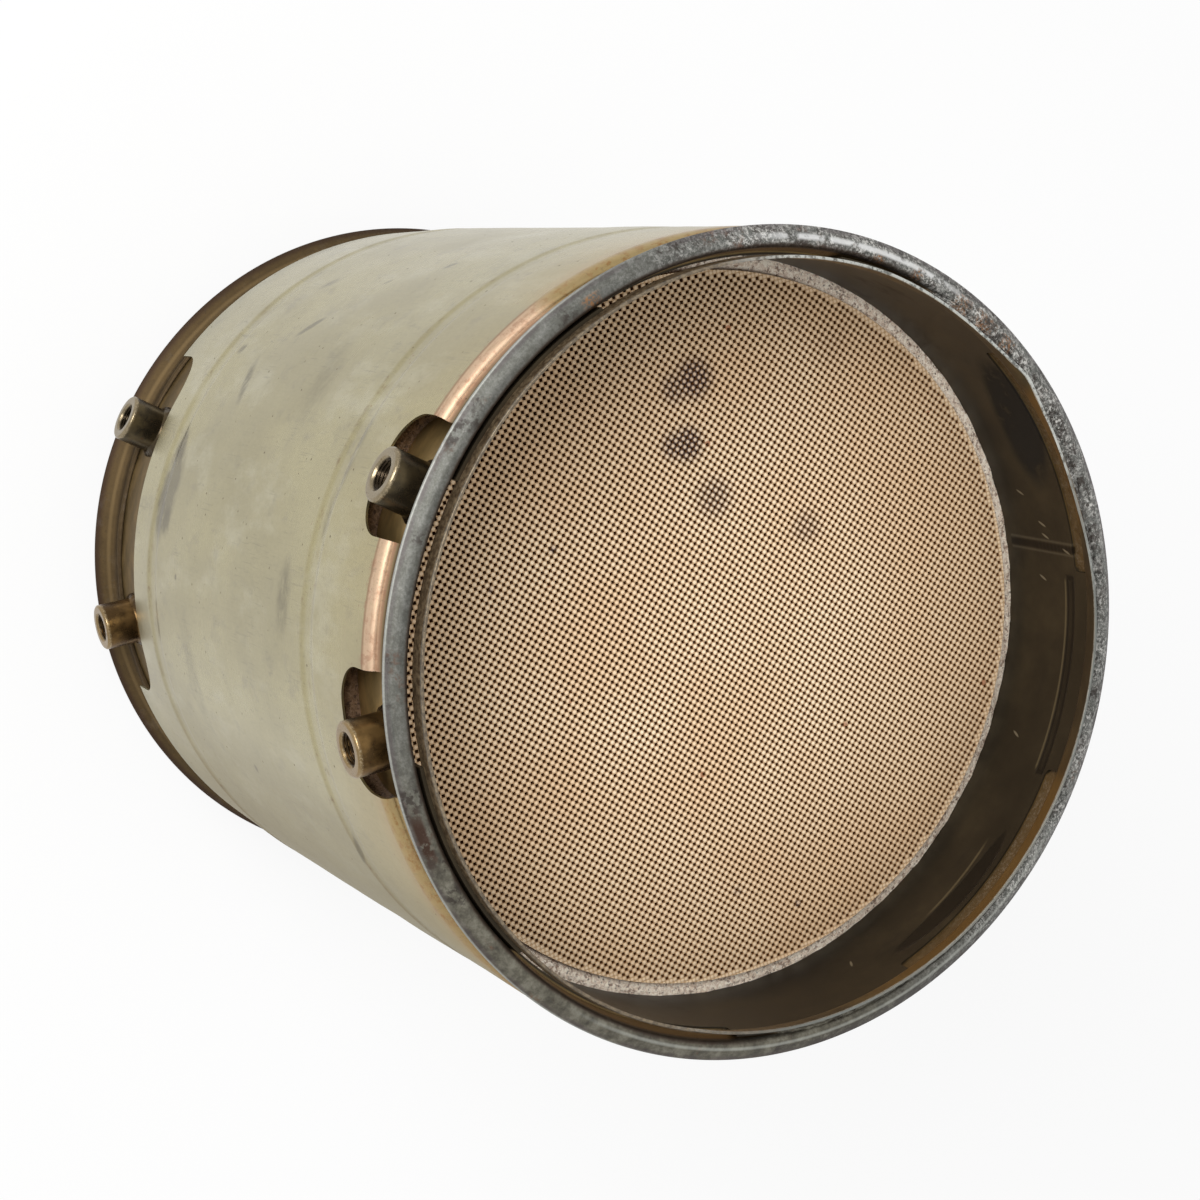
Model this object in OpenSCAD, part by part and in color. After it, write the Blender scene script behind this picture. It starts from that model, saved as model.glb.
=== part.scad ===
// Diesel particulate filter canister: a wall-flow honeycomb in a rolled steel can,
// clamp flanges on both ends, an insulated heat shield around it and four sensor bosses.
// It stands on its inlet end with the outlet end up; the bosses face -Y.

/* [Filter brick] */
// Diameter of the ceramic honeycomb
substrate_d = 307; // [280:1:320]
// Length of the ceramic honeycomb
substrate_len = 305; // [260:1:310]
// Depth of the outlet face below the outlet rim
substrate_recess = 51.3; // [45:0.1:70]
// Spacing of the modelled channels; the real brick is finer, about 200 cells per square inch
cell_pitch = 11; // [10:0.5:16]
// Wall between two channels
cell_wall = 2.6; // [1.8:0.1:4]
// Length of the ceramic plug at the closed end of a channel
plug_len = 10; // [6:1:20]
// Turn of the channel grid about the axis, degrees
cell_turn = 20; // [0:1:89]

/* [Can] */
// Thickness of the fibre mat between brick and can
mat_t = 6.5; // [4:0.1:9]
// How far the mat stops short of each face of the brick
mat_setback = 3.5; // [1:0.5:10]
// Sheet thickness of the can
can_wall = 1.5; // [1:0.1:2.5]
// How much wider the can's inlet mouth is, to take the pilot ring of the section before it
mouth_gain = 0.8; // [0.6:0.1:1]
// Length of the wider mouth
mouth_len = 17.5; // [17:0.1:18]
// Reach of the pilot ring past the outlet rim
pilot_reach = 8; // [5:0.5:14]
// Lap of the can's tabs over the pilot ring
pilot_lap = 3.5; // [2:0.1:5]
// Number of windows between the can's tabs
window_n = 5; // [3:1:6]
// Arc of one window, degrees
window_arc = 40; // [24:1:48]
// Height of one window
window_h = 6.3; // [4:0.1:7]
// Depth of the window's upper edge below the outlet rim
window_top = 1.5; // [1:0.1:2]

/* [Clamp flanges] */
// Distance between the rims of the two flanges
rim_span = 392; // [380:1:440]
// Height of the rim above the hub
rim_rise = 8.6; // [7:0.1:10]
// Thickness of the rim at its edge
rim_t = 1.8; // [1.2:0.1:1.8]
// Axial length of the cone behind the rim
rim_cone = 6.8; // [5.5:0.1:6.8]
// Rise of the sealing lip past the rim
lip_rise = 3.3; // [2:0.1:5]
// Radial width of the sealing cone between rim and lip
seal_w = 5; // [3:0.1:5.5]
// Width of the flat land on the lip
land_w = 1.2; // [0.8:0.1:1.8]
// Depth of the throat between lip and can
throat_depth = 7.4; // [6:0.1:7.6]
// Thickness of the hub over the can
hub_wall = 1.9; // [1.6:0.1:3]
// Straight length of the inlet hub behind its cone; the outlet hub has none
inlet_hub_len = 4.9; // [1:0.1:4.9]

/* [Heat shield] */
// Thickness of the insulation over the can
insulation_t = 9.3; // [7:0.1:14]
// Sheet thickness of the shield
shield_t = 1; // [0.6:0.1:1.5]
// Distance from the outlet rim to the shield's front edge
shield_front_gap = 11.5; // [9:0.5:16]
// Distance from the inlet rim to the shield's rear edge
shield_rear_gap = 31; // [26:0.5:40]
// Length of the narrow neck at the front edge
neck_len = 6; // [3:0.1:9]
// Length of the rounded shoulder between neck and barrel
shoulder_len = 6.5; // [3:0.1:8]
// Drop of the shoulder
shoulder_drop = 3.6; // [1:0.1:3.8]
// Further drop along the neck
neck_drop = 1.7; // [0.2:0.1:2]
// Distance from the outlet rim to the front bead
front_bead_at = 75.7; // [72:0.1:110]
// Distance from the inlet rim to the rear bead
rear_bead_at = 89.4; // [85:0.1:110]
// Width of a bead
bead_w = 15.5; // [12:0.5:24]
// Depth of a bead
bead_depth = 1.2; // [0.5:0.1:2]
// Drop of the shield between rear bead and rear edge
tail_drop = 1.6; // [0.2:0.1:2]
// Turn of the shield on the can, degrees
shield_turn = -1.1; // [-3:0.1:3]
// Width of a notch around an outlet boss
notch_w = 52; // [44:1:58]
// Reach of a notch from the outlet rim
notch_reach = 46; // [42:0.5:58]
// Corner radius of a notch
notch_corner = 17; // [8:1:20]
// Half arc of the recess around the inlet bosses, degrees
recess_half_arc = 30; // [28:0.5:40]
// Reach of the recess from the inlet rim
recess_reach = 65; // [55:0.5:69]
// Corner radius of the recess
recess_corner = 22; // [8:1:24]

/* [Sensor bosses] */
// Outer diameter of a boss
boss_d = 23; // [20:0.5:24]
// Height of a boss above the can
boss_h = 19.1; // [14:0.1:30]
// Tapping bore for an M14 x 1.5 thread
boss_bore = 12.4; // [10:0.1:14]
// Angle between the two bosses of a pair, degrees
boss_spread = 34.6; // [30:0.1:38]
// Distance from the outlet rim to the outlet bosses
outlet_boss_at = 21.6; // [21.6:0.1:28]
// Distance from the inlet rim to the inlet bosses
inlet_boss_at = 30.8; // [28:0.1:40]
// Width of the weld fillet around a boss
weld_w = 1; // [0.5:0.1:1.2]

/* [Hidden] */
$fn = 120;

// Overrun of a cutting tool past the surface that it cuts
over = 1;
// Chamfers on a boss: at its outer edge and at its bore
boss_chamfer = 0.8;
bore_chamfer = 1.3;
// Radius between the land and the throat
lip_round = 1.4;
// Axial length of the taper behind the inlet mouth
mouth_taper = 2.5;
// Inset of the insulation behind each cut edge of the shield
undercut = 2.5;
// Inset of the insulation's ends behind the shoulder and the rear edge
blanket_inset = 3;
// Thinnest web left between the outermost channels and the skin
skin = 2.2;
// Share of a bead's width that each of its slopes takes
bead_slope_share = 0.3;
// Straight pieces in a cut corner, in the lip's round and in the shoulder
corner_steps = 10;
lip_steps = 4;
shoulder_steps = 5;

// Radii from the brick outwards
substrate_r = substrate_d / 2;
can_r_in = substrate_r + mat_t;
can_r = can_r_in + can_wall;
pilot_r_in = can_r_in - can_wall;
hub_r = can_r + hub_wall;
rim_r = hub_r + rim_rise;
lip_r = rim_r - seal_w;
lip_r_in = lip_r - land_w;
shield_r = can_r + insulation_t + shield_t;

// Levels from the inlet end upwards
inlet_rim_z = lip_rise;
outlet_rim_z = inlet_rim_z + rim_span;
pilot_z = outlet_rim_z + pilot_reach;
window_z = outlet_rim_z - window_top;
can_top_z = window_z + pilot_lap;
substrate_top_z = outlet_rim_z - substrate_recess;
substrate_bottom_z = substrate_top_z - substrate_len;
shield_top_z = outlet_rim_z - shield_front_gap;
shield_bottom_z = inlet_rim_z + shield_rear_gap;

// The bosses face -Y
boss_side = -90;

// Profile of the shield's outer face, from its front edge down, as radius and level
crease_z = shield_top_z - neck_len;
barrel_z = crease_z - shoulder_len;
front_bead_z = outlet_rim_z - front_bead_at;
rear_bead_z = inlet_rim_z + rear_bead_at;
bead_slope = bead_w * bead_slope_share;
shield_line = [
    [shield_r - shoulder_drop - neck_drop, shield_top_z],
    for (i = [shoulder_steps:-1:0]) let (a = 90 * i / shoulder_steps)
        [shield_r - shoulder_drop * (1 - cos(a)), barrel_z + shoulder_len * sin(a)],
    [shield_r, front_bead_z],
    [shield_r - bead_depth, front_bead_z - bead_slope],
    [shield_r - bead_depth, front_bead_z - bead_w + bead_slope],
    [shield_r, front_bead_z - bead_w],
    [shield_r, rear_bead_z + bead_w],
    [shield_r - bead_depth, rear_bead_z + bead_w - bead_slope],
    [shield_r - bead_depth, rear_bead_z + bead_slope],
    [shield_r, rear_bead_z],
    [shield_r - tail_drop, shield_bottom_z],
];

// The insulation lies under the barrel: its ends stop inside the sheet
blanket_top_z = barrel_z - blanket_inset;
blanket_bottom_z = shield_bottom_z + blanket_inset;
tail_share = (rear_bead_z - blanket_bottom_z) / (rear_bead_z - shield_bottom_z);

// A profile line moved towards the axis
function inset(line, d) = [for (p = line) [p[0] - d, p[1]]];
// A list in reverse order
function back(line) = [for (i = [len(line) - 1:-1:0]) line[i]];
// Points on an arc about c from angle a to angle b
function arc(c, r, a, b, n) = [for (i = [0:n]) c + r * [cos(a + (b - a) * i / n), sin(a + (b - a) * i / n)]];

// Cell centres of the brick whose column and row add up to the given parity
function cells(parity) = let (
    reach = ceil(substrate_r / cell_pitch),
    limit = substrate_r - skin - (cell_pitch - cell_wall) * sqrt(2) / 2
) [
    for (i = [-reach:reach], j = [-reach:reach])
        if ((i + j + 2 * reach) % 2 == parity && norm([i, j]) * cell_pitch < limit) [i, j] * cell_pitch
];

// Places something for a boss, with X pointing outwards from the axis
module at_boss(side, z) {
    rotate(boss_side + side * boss_spread / 2) translate([0, 0, z]) children();
}

// Bore of a boss, carried on through the sheet below it
module sensor_bore(side, z) {
    at_boss(side, z) rotate([90, 0, 90]) cylinder(h = rim_r + boss_h, d = boss_bore);
}

// Square channels of one parity
module channels(parity) {
    linear_extrude(height = substrate_len - plug_len + over)
        rotate(cell_turn)
            for (c = cells(parity)) translate(c) square(cell_pitch - cell_wall, center = true);
}

// The brick: every second channel is open at the outlet, the others at the inlet
module substrate() {
    color("#d9bf95")
        difference() {
            translate([0, 0, substrate_bottom_z]) cylinder(h = substrate_len, r = substrate_r);
            translate([0, 0, substrate_bottom_z + plug_len]) channels(0);
            translate([0, 0, substrate_bottom_z - over]) channels(1);
        }
}

// The mat that holds the brick
module support_mat() {
    z0 = substrate_bottom_z + mat_setback;
    z1 = substrate_top_z - mat_setback;
    color("#cbb9ae")
        rotate_extrude()
            translate([substrate_r, z0]) square([mat_t, z1 - z0]);
}

// What is cut away between two tabs, centred on X
module window_sector() {
    reach = can_r + over;
    half = window_arc / 2;
    linear_extrude(height = window_h + pilot_lap + over)
        difference() {
            polygon([[0, 0], [reach, -reach * tan(half)], [reach, reach * tan(half)]]);
            circle(r = pilot_r_in);
        }
}

// The can: a rolled tube with a wider inlet mouth, its outlet end cut into tabs that hold the pilot ring
module can_shell() {
    color("#6f6450")
        difference() {
            rotate_extrude()
                polygon([
                    [can_r_in + mouth_gain, 0],
                    [can_r + mouth_gain, 0],
                    [can_r + mouth_gain, mouth_len],
                    [can_r, mouth_len + mouth_taper],
                    [can_r, can_top_z],
                    [can_r_in, can_top_z],
                    [can_r_in, mouth_len + mouth_taper],
                    [can_r_in + mouth_gain, mouth_len],
                ]);
            for (k = [0:window_n - 1])
                rotate(boss_side + k * 360 / window_n)
                    translate([0, 0, window_z - window_h])
                        window_sector();
            for (side = [-1, 1]) {
                sensor_bore(side, inlet_rim_z + inlet_boss_at);
                sensor_bore(side, outlet_rim_z - outlet_boss_at);
            }
        }
}

// The ring that centres the next section; it closes the windows towards the outlet
module outlet_pilot_ring() {
    color("#8a7350")
        rotate_extrude()
            translate([pilot_r_in, window_z]) square([can_r_in - pilot_r_in, pilot_z - window_z]);
}

// Section of a clamp flange on a seat, with its rim at level zero and its lip pointing up
module flange_section(seat_r, hub_len) {
    round_c = [lip_r_in, lip_rise - lip_round];
    cone_z = -rim_t - rim_cone;
    polygon(concat(
        hub_len > 0 ? [[hub_r, cone_z - hub_len]] : [],
        [
            [hub_r, cone_z],
            [rim_r, -rim_t],
            [rim_r, 0],
            [lip_r, lip_rise],
        ],
        arc(round_c, lip_round, 90, 180, lip_steps),
        [[seat_r, -throat_depth], [seat_r, cone_z - hub_len]]
    ));
}

module inlet_clamp_flange() {
    color("#7a6a4c")
        translate([0, 0, inlet_rim_z])
            mirror([0, 0, 1])
                rotate_extrude() flange_section(can_r + mouth_gain, inlet_hub_len);
}

module outlet_clamp_flange() {
    color("#81868a")
        translate([0, 0, outlet_rim_z]) rotate_extrude() flange_section(can_r, 0);
}

// Notch outline as seen along a boss, open at the top
module notch_outline(grow) {
    w = notch_w / 2 + grow;
    r = notch_corner;
    low = -notch_reach - grow;
    polygon(concat(
        [[-w, over]],
        arc([-w + r, low + r], r, 180, 270, corner_steps),
        arc([w - r, low + r], r, 270, 360, corner_steps),
        [[w, over]]
    ));
}

// Recess outline as seen along the boss side, open at the bottom
module recess_outline(grow) {
    w = shield_r * sin(recess_half_arc) + grow;
    r = recess_corner;
    high = recess_reach + grow;
    polygon(concat(
        [[w, -over]],
        arc([w - r, high - r], r, 0, 90, corner_steps),
        arc([-w + r, high - r], r, 90, 180, corner_steps),
        [[-w, -over]]
    ));
}

// Turns an outline to stand upright and runs it outwards along X from inside the can
module radial_cut() {
    reach = shield_r - can_r * cos(recess_half_arc) + over;
    translate([can_r * cos(recess_half_arc), 0, 0])
        rotate([90, 0, 90])
            linear_extrude(height = reach)
                children();
}

// What the shield and the insulation both leave open around the bosses
module boss_openings(grow) {
    rotate(shield_turn) {
        for (side = [-1, 1])
            at_boss(side, outlet_rim_z) radial_cut() notch_outline(grow);
        rotate(boss_side) translate([0, 0, inlet_rim_z]) radial_cut() recess_outline(grow);
    }
}

module insulation_blanket() {
    tail_r = shield_r - shield_t - tail_drop * tail_share;
    under = [
        for (p = inset(shield_line, shield_t))
            if (p[1] < blanket_top_z && p[1] > blanket_bottom_z) p
    ];
    color("#c9bfae")
        difference() {
            rotate_extrude()
                polygon(concat(
                    [[can_r, blanket_top_z], [shield_r - shield_t, blanket_top_z]],
                    under,
                    [[tail_r, blanket_bottom_z], [can_r, blanket_bottom_z]]
                ));
            boss_openings(undercut);
        }
}

module heat_shield() {
    color("#b3ab8c")
        difference() {
            rotate_extrude() polygon(concat(shield_line, back(inset(shield_line, shield_t))));
            boss_openings(0);
        }
}

// A turned boss with its weld fillet, seated on the can
module sensor_boss(side, z) {
    top = can_r + boss_h;
    r = boss_d / 2;
    bore_r = boss_bore / 2;
    foot = can_r - (r + weld_w) * (r + weld_w) / can_r;
    color("#5d5440")
        difference() {
            at_boss(side, z)
                rotate([90, 0, 90])
                    rotate_extrude()
                        polygon([
                            [bore_r, foot],
                            [r + weld_w, foot],
                            [r + weld_w, can_r],
                            [r, can_r + 2 * weld_w],
                            [r, top - boss_chamfer],
                            [r - boss_chamfer, top],
                            [bore_r + bore_chamfer, top],
                            [bore_r, top - bore_chamfer],
                        ]);
            translate([0, 0, z - boss_d]) cylinder(h = 2 * boss_d, r = can_r);
        }
}

module inlet_sensor_boss_1() { sensor_boss(-1, inlet_rim_z + inlet_boss_at); }
module inlet_sensor_boss_2() { sensor_boss(1, inlet_rim_z + inlet_boss_at); }
module outlet_sensor_boss_1() { sensor_boss(-1, outlet_rim_z - outlet_boss_at); }
module outlet_sensor_boss_2() { sensor_boss(1, outlet_rim_z - outlet_boss_at); }

substrate();
support_mat();
can_shell();
outlet_pilot_ring();
inlet_clamp_flange();
outlet_clamp_flange();
insulation_blanket();
heat_shield();
inlet_sensor_boss_1();
inlet_sensor_boss_2();
outlet_sensor_boss_1();
outlet_sensor_boss_2();
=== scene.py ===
"""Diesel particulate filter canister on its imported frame: pieces, finishes, floor, light and camera.

Lengths inside the functions are millimetres, angles are radians counted from the boss side (-Y)
and anticlockwise as seen from the outlet. A finished piece is in metres, in the frame's own axes."""
import math

import bpy
import numpy as np
from bpy.props import FloatProperty, FloatVectorProperty, IntProperty, PointerProperty
from mathutils import Matrix, Vector


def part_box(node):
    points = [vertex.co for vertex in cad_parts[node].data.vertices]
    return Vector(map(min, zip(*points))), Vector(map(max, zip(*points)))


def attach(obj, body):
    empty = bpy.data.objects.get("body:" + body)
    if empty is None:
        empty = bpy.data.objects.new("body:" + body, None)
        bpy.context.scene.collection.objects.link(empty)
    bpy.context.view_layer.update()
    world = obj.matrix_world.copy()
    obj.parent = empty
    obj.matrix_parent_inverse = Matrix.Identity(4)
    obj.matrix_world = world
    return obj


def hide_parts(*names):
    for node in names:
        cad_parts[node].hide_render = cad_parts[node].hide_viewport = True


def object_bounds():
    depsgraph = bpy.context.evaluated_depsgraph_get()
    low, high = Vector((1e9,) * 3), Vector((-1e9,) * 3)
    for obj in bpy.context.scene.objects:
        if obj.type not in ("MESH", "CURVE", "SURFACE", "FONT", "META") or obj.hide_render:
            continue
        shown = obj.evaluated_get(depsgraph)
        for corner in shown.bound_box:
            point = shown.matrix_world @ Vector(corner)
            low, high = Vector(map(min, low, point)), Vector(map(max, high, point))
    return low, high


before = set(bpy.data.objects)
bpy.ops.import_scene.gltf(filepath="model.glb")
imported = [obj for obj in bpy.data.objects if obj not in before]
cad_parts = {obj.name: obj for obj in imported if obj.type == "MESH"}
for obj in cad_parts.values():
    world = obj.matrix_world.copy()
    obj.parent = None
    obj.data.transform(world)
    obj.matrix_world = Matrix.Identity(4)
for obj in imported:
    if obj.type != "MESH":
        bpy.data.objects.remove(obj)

bl_info = {
    "name": "Particulate Filter Canister",
    "version": (1, 0, 0),
    "blender": (4, 5, 0),
    "location": "View3D > Sidebar > Filter",
    "description": "Makes the pieces and finishes of a clamped diesel particulate filter canister",
    "category": "Add Mesh",
}

CAD_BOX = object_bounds()
MM = 0.001
DEG = math.pi / 180


def reach(node):
    """Largest radius, lowest level and highest level of a solid of the frame, in millimetres."""
    low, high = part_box(node)
    return 1000 * max(high.x, -low.x), 1000 * low.z, 1000 * high.z


BRICK_R, BRICK_LOW, BRICK_TOP = reach("substrate")
MAT_R, MAT_LOW, MAT_TOP = reach("support_mat")
MOUTH_R, CAN_LOW, CAN_TOP = reach("can_shell")
RING_R, RING_LOW, RING_TOP = reach("outlet_pilot_ring")
RIM_R, FLANGE_LOW, LIP_TOP = reach("outlet_clamp_flange")
SHIELD_R, SHIELD_LOW, SHIELD_TOP = reach("heat_shield")
BLANKET_R, BLANKET_LOW, BLANKET_TOP = reach("insulation_blanket")
INLET_HUB_TOP = reach("inlet_clamp_flange")[2]
LIP_RISE = 3.3
RIM_Z = LIP_TOP - LIP_RISE
INLET_RIM_Z = LIP_RISE
CAN_WALL = 1.5
CAN_R = MAT_R + CAN_WALL
MOUTH_GAIN = MOUTH_R - CAN_R
SHEET = 1.0
BOSS_LEVELS = [500 * (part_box(n)[0].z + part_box(n)[1].z) for n in ("inlet_sensor_boss_1", "outlet_sensor_boss_1")]
BOSS_TURN, BOSS_HEIGHT = 17.3 * DEG, 19.1
SHIELD_TURN = -1.1 * DEG
SEAM_DEGREES = 199.35
FLANGE_RISE = 8.6
BARREL = 89.4
GROOVE = 15.5
GROOVES = (75.7, RIM_Z - INLET_RIM_Z - BARREL - GROOVE)


# Smears on the shield: angle, level, half lengths across and along, tilt, depth.
SMEARS = (
    (-39.4, 175, 3.5, 13, 40, 0.75), (-49.8, 137, 5, 10, 35, 0.4), (-56.2, 241, 2.5, 6, 40, 0.6),
    (-50.8, 202, 2, 5, 40, 0.4), (-8.5, 110, 26, 17, 0, 1.0), (-4, 104, 18, 10, 10, 0.9),
    (-28, 150, 20, 5, 30, 0.5), (-15, 107, 13, 9, 0, 0.8), (-3, 116, 9, 8, 0, 0.7),
    (2, 283, 22, 10, 0, 0.4), (5, 138.6, 2, 2, 0, 0.8), (-33.6, 114.5, 4, 5, 30, 0.5),
    (32.6, 204, 3, 3, 0, 0.6), (38.5, 307, 14, 3.5, -25, 0.65), (-20, 318, 26, 5, 0, 0.35),
    (-11, 314, 14, 4, 0, 0.4), (-30, 240, 34, 16, 20, 0.18), (20, 150, 40, 12, 0, 0.2),
    (150, 220, 30, 14, 20, 0.4), (96, 160, 22, 8, -30, 0.35), (-120, 250, 26, 9, 25, 0.35),
    (60, 90, 20, 9, 0, 0.3), (-160, 120, 18, 24, 0, 0.3),
)

# Soot on the outlet face of the honeycomb: x, y, radius, depth.
SOOTED_CHANNELS = (
    (-106, -24.7, 13, 0.95), (-101, -33, 10, 0.7), (-78.3, -23.8, 11, 1.0), (-77, -30, 9, 0.8),
    (-57.5, -7.7, 13, 0.6), (-49.1, 40.1, 11, 0.45), (-28.7, -80.2, 2.6, 0.9), (-10, -106.3, 2.2, 0.8),
    (117, 62, 2.6, 0.8), (112, 30, 3, 0.5),
)

# The pilot ring's dented edge: angle in degrees, lean as a share of the dent.
RING_LEAN = (
    (50, 0), (66, -0.2), (84, -0.55), (100, -0.15), (120, -0.2), (131, 0), (186, -0.1),
    (193, -0.35), (199, -0.75), (203, -1.05), (207, -1.35), (211, -1.33), (215, -1.15), (218, -0.9),
    (221, -0.6), (224, -0.35), (227, 0.2), (229.4, 0.85), (230.9, 1.05), (232.1, 0.8), (234.2, 0.36),
    (237.5, -0.05), (241.5, -0.27), (245.6, -0.25), (253, 0), (260, 0.3), (266, 0.3), (285, 0),
)


# ---------------------------------------------------------------- shapes

def polar(radius, turn, level):
    """x = r sin(turn), y = -r cos(turn), z = level."""
    radius, turn, level = np.broadcast_arrays(radius, turn, level)
    return np.stack([radius * np.sin(turn), -radius * np.cos(turn), level], -1)


def ease(x, start, end):
    """0 before start, 1 after end, and 3t^2 - 2t^3 between them."""
    t = np.clip((x - start) / (end - start), 0, 1)
    return t * t * (3 - 2 * t)


def ripple(turn, level, seed, amount):
    """Soft unevenness of a rolled sheet: six sine waves in the turn and the level, with seeded phases."""
    rng = np.random.default_rng(seed)
    total = 0 * turn + 0 * level
    for waves, length in ((2, 300), (3, 170), (5, 120), (8, 90), (13, 60), (21, 45)):
        total = total + np.sin(waves * turn + 2 * math.pi * level / length + rng.uniform(0, 6.28)) / waves ** 0.5
    return amount * total / 2


def rounded_box(x, level, half, low, high, corner):
    """Signed distance to a rectangle with rounded corners, positive outside it."""
    across = np.abs(x) - half + corner
    along = np.abs(level - (low + high) / 2) - (high - low) / 2 + corner
    outside = np.hypot(np.maximum(across, 0), np.maximum(along, 0))
    return outside + np.minimum(np.maximum(across, along), 0) - corner


def wrapped(turn):
    """The same turn between -pi and pi."""
    return (turn + math.pi) % (2 * math.pi) - math.pi


def boss_cuts(turn, level, grow):
    """Distance outside the two outlet notches and the inlet recess, widened by grow."""
    found = np.full(np.broadcast(turn, level).shape, 99.0)
    for side in (-1, 1):
        t = wrapped(turn - SHIELD_TURN - side * BOSS_TURN)
        d = rounded_box(SHIELD_R * np.sin(t), level, 26 + grow, RIM_Z - 46 - grow, RIM_Z + 90, 17)
        found = np.where(np.abs(t) < 1.2, np.minimum(found, d), found)
    t = wrapped(turn - SHIELD_TURN)
    d = rounded_box(SHIELD_R * np.sin(t), level, SHIELD_R / 2 + grow, -90, INLET_RIM_Z + 65 + grow, 22)
    return np.where(np.abs(t) < 1.2, np.minimum(found, d), found)


def shield_radius(level):
    """Outer radius of the shield: neck, quarter-ellipse shoulder, barrel with two rolled grooves, tail."""
    d = RIM_Z - level
    s = np.clip((24 - d) / 6.5, 0, 1)
    r = SHIELD_R - 3.6 * (1 - np.sqrt(1 - s * s)) - 1.7 * np.clip((17.5 - d) / 6, 0, 1)
    for start in GROOVES:
        r = r - 0.75 * ease(d, start, start + 5) * (1 - ease(d, start + GROOVE - 5, start + GROOVE))
    tail = RIM_Z - INLET_RIM_Z - BARREL
    return r - 1.6 * np.clip((d - tail) / (RIM_Z - SHIELD_LOW - tail), 0, 1)


def spaced(*spans):
    """Values in ascending order: each span (start, end, step) is filled evenly, ends shared."""
    parts = [np.linspace(a, b, max(int(round((b - a) / h)), 1), endpoint=False) for a, b, h in spans]
    return np.concatenate(parts + [[spans[-1][1]]])


def rolled_wall(turns, levels, outer, inner, cut=None, layers=(), bulge=None):
    """A wall round the axis. Both skins are the grid turn x level, at the radii outer(t, z) and inner(t, z).
    Cells whose centre has cut(t, z) < 0 are left out, and the vertices on that border move by
    -cut * gradient / |gradient|^2 onto its zero. The skins are joined where a neighbour cell is missing,
    through the given layers between them, each pushed out of the wall's edge by bulge(t, z, layer)."""
    n, m = len(turns), len(levels)
    T, Z = [a.copy() for a in np.meshgrid(turns, levels, indexing="ij")]
    step = np.concatenate([np.diff(turns), [turns[0] + 2 * math.pi - turns[-1]]])
    R0 = float(np.mean(outer(T, Z)))
    keep = np.ones((n, m - 1), bool)
    push = np.zeros((n, m, 2))
    if cut is not None:
        keep = cut((T + step[:, None] / 2)[:, :-1], (Z[:, :-1] + Z[:, 1:]) / 2) > 0
        side = np.zeros((n, m), int)
        for shift in (0, 1):
            k = np.roll(keep, shift, 0)
            side[:, :-1] += k
            side[:, 1:] += k
        full = np.full(m, 4)
        full[[0, -1]] = 2
        border = (side > 0) & (side < full[None])
        ends = np.zeros((n, m), bool)
        ends[:, [0, -1]] = True
        for _ in range(3):
            e = 0.05
            d = cut(T, Z)
            ga = (cut(T + e / R0, Z) - cut(T - e / R0, Z)) / (2 * e)
            gz = (cut(T, Z + e) - cut(T, Z - e)) / (2 * e)
            gz = np.where(ends, 0, gz)
            size = np.maximum(ga * ga + gz * gz, 0.2)
            T = T - np.where(border, d * ga / size, 0) / R0
            Z = Z - np.where(border, d * gz / size, 0)
        push[..., 0] = np.where(border, -ga / np.sqrt(size), 0)
        push[..., 1] = np.where(border, -gz / np.sqrt(size), 0)
    push[:, 0, 1] = np.where(push[:, 0, 0] == 0, -1, push[:, 0, 1])
    push[:, -1, 1] = np.where(push[:, -1, 0] == 0, 1, push[:, -1, 1])
    skins = np.concatenate([polar(outer(T, Z), T, Z).reshape(-1, 3), polar(inner(T, Z), T, Z).reshape(-1, 3)])
    J, I = np.nonzero(keep)
    J1 = (J + 1) % n
    corner = np.stack([J * m + I, J1 * m + I, J1 * m + I + 1, J * m + I + 1], 1)
    faces = [corner, corner[:, ::-1] + n * m]
    padded = np.zeros((n, m + 1), bool)
    padded[:, 1:-1] = keep
    missing = np.stack([~padded[J, I], ~keep[J1, I], ~padded[J, I + 2], ~keep[(J - 1) % n, I]], 1)
    rims = []
    for k in range(4):
        pick = missing[:, k]
        rims.append(np.stack([corner[pick, k], corner[pick, (k + 1) % 4]], 1))
    rims = np.concatenate(rims)
    line, rank = np.unique(rims, return_inverse=True)
    rank = rank.reshape(-1, 2)
    rows = [line]
    points = [skins]
    count = len(skins)
    t_line, z_line = T.ravel()[line], Z.ravel()[line]
    out_line = push.reshape(-1, 2)[line]
    r_out, r_in = outer(t_line, z_line), inner(t_line, z_line)
    for share in layers:
        by = bulge(t_line, z_line, share)
        r = r_out + (r_in - r_out) * share
        points.append(polar(r, t_line + by * out_line[:, 0] / R0, z_line + by * out_line[:, 1]))
        rows.append(np.arange(len(line)) + count)
        count += len(line)
    rows.append(line + n * m)
    for a, b in zip(rows[:-1], rows[1:]):
        faces.append(np.stack([a[rank[:, 1]], a[rank[:, 0]], b[rank[:, 0]], b[rank[:, 1]]], 1))
    return np.concatenate(points), np.concatenate(faces)


def closed_grid(n, m):
    """The quads of a grid of n x m vertices that closes on itself both ways."""
    J, I = [a.ravel() for a in np.meshgrid(np.arange(n), np.arange(m), indexing="ij")]
    J1, I1 = (J + 1) % n, (I + 1) % m
    return np.stack([J * m + I, J1 * m + I, J1 * m + I1, J * m + I1], 1)


def turned(line, count, twist=None):
    """A closed section line of (radius, level), anticlockwise with the radius to the right, carried round the axis."""
    line = np.asarray(line, float)
    turns = np.arange(count) * 2 * math.pi / count
    T, K = np.meshgrid(turns, np.arange(len(line)), indexing="ij")
    radius, level = line[K, 0], line[K, 1]
    if twist is not None:
        radius, level = twist(T, K, radius, level)
    return polar(radius, T, level).reshape(-1, 3), closed_grid(*T.shape)


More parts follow.
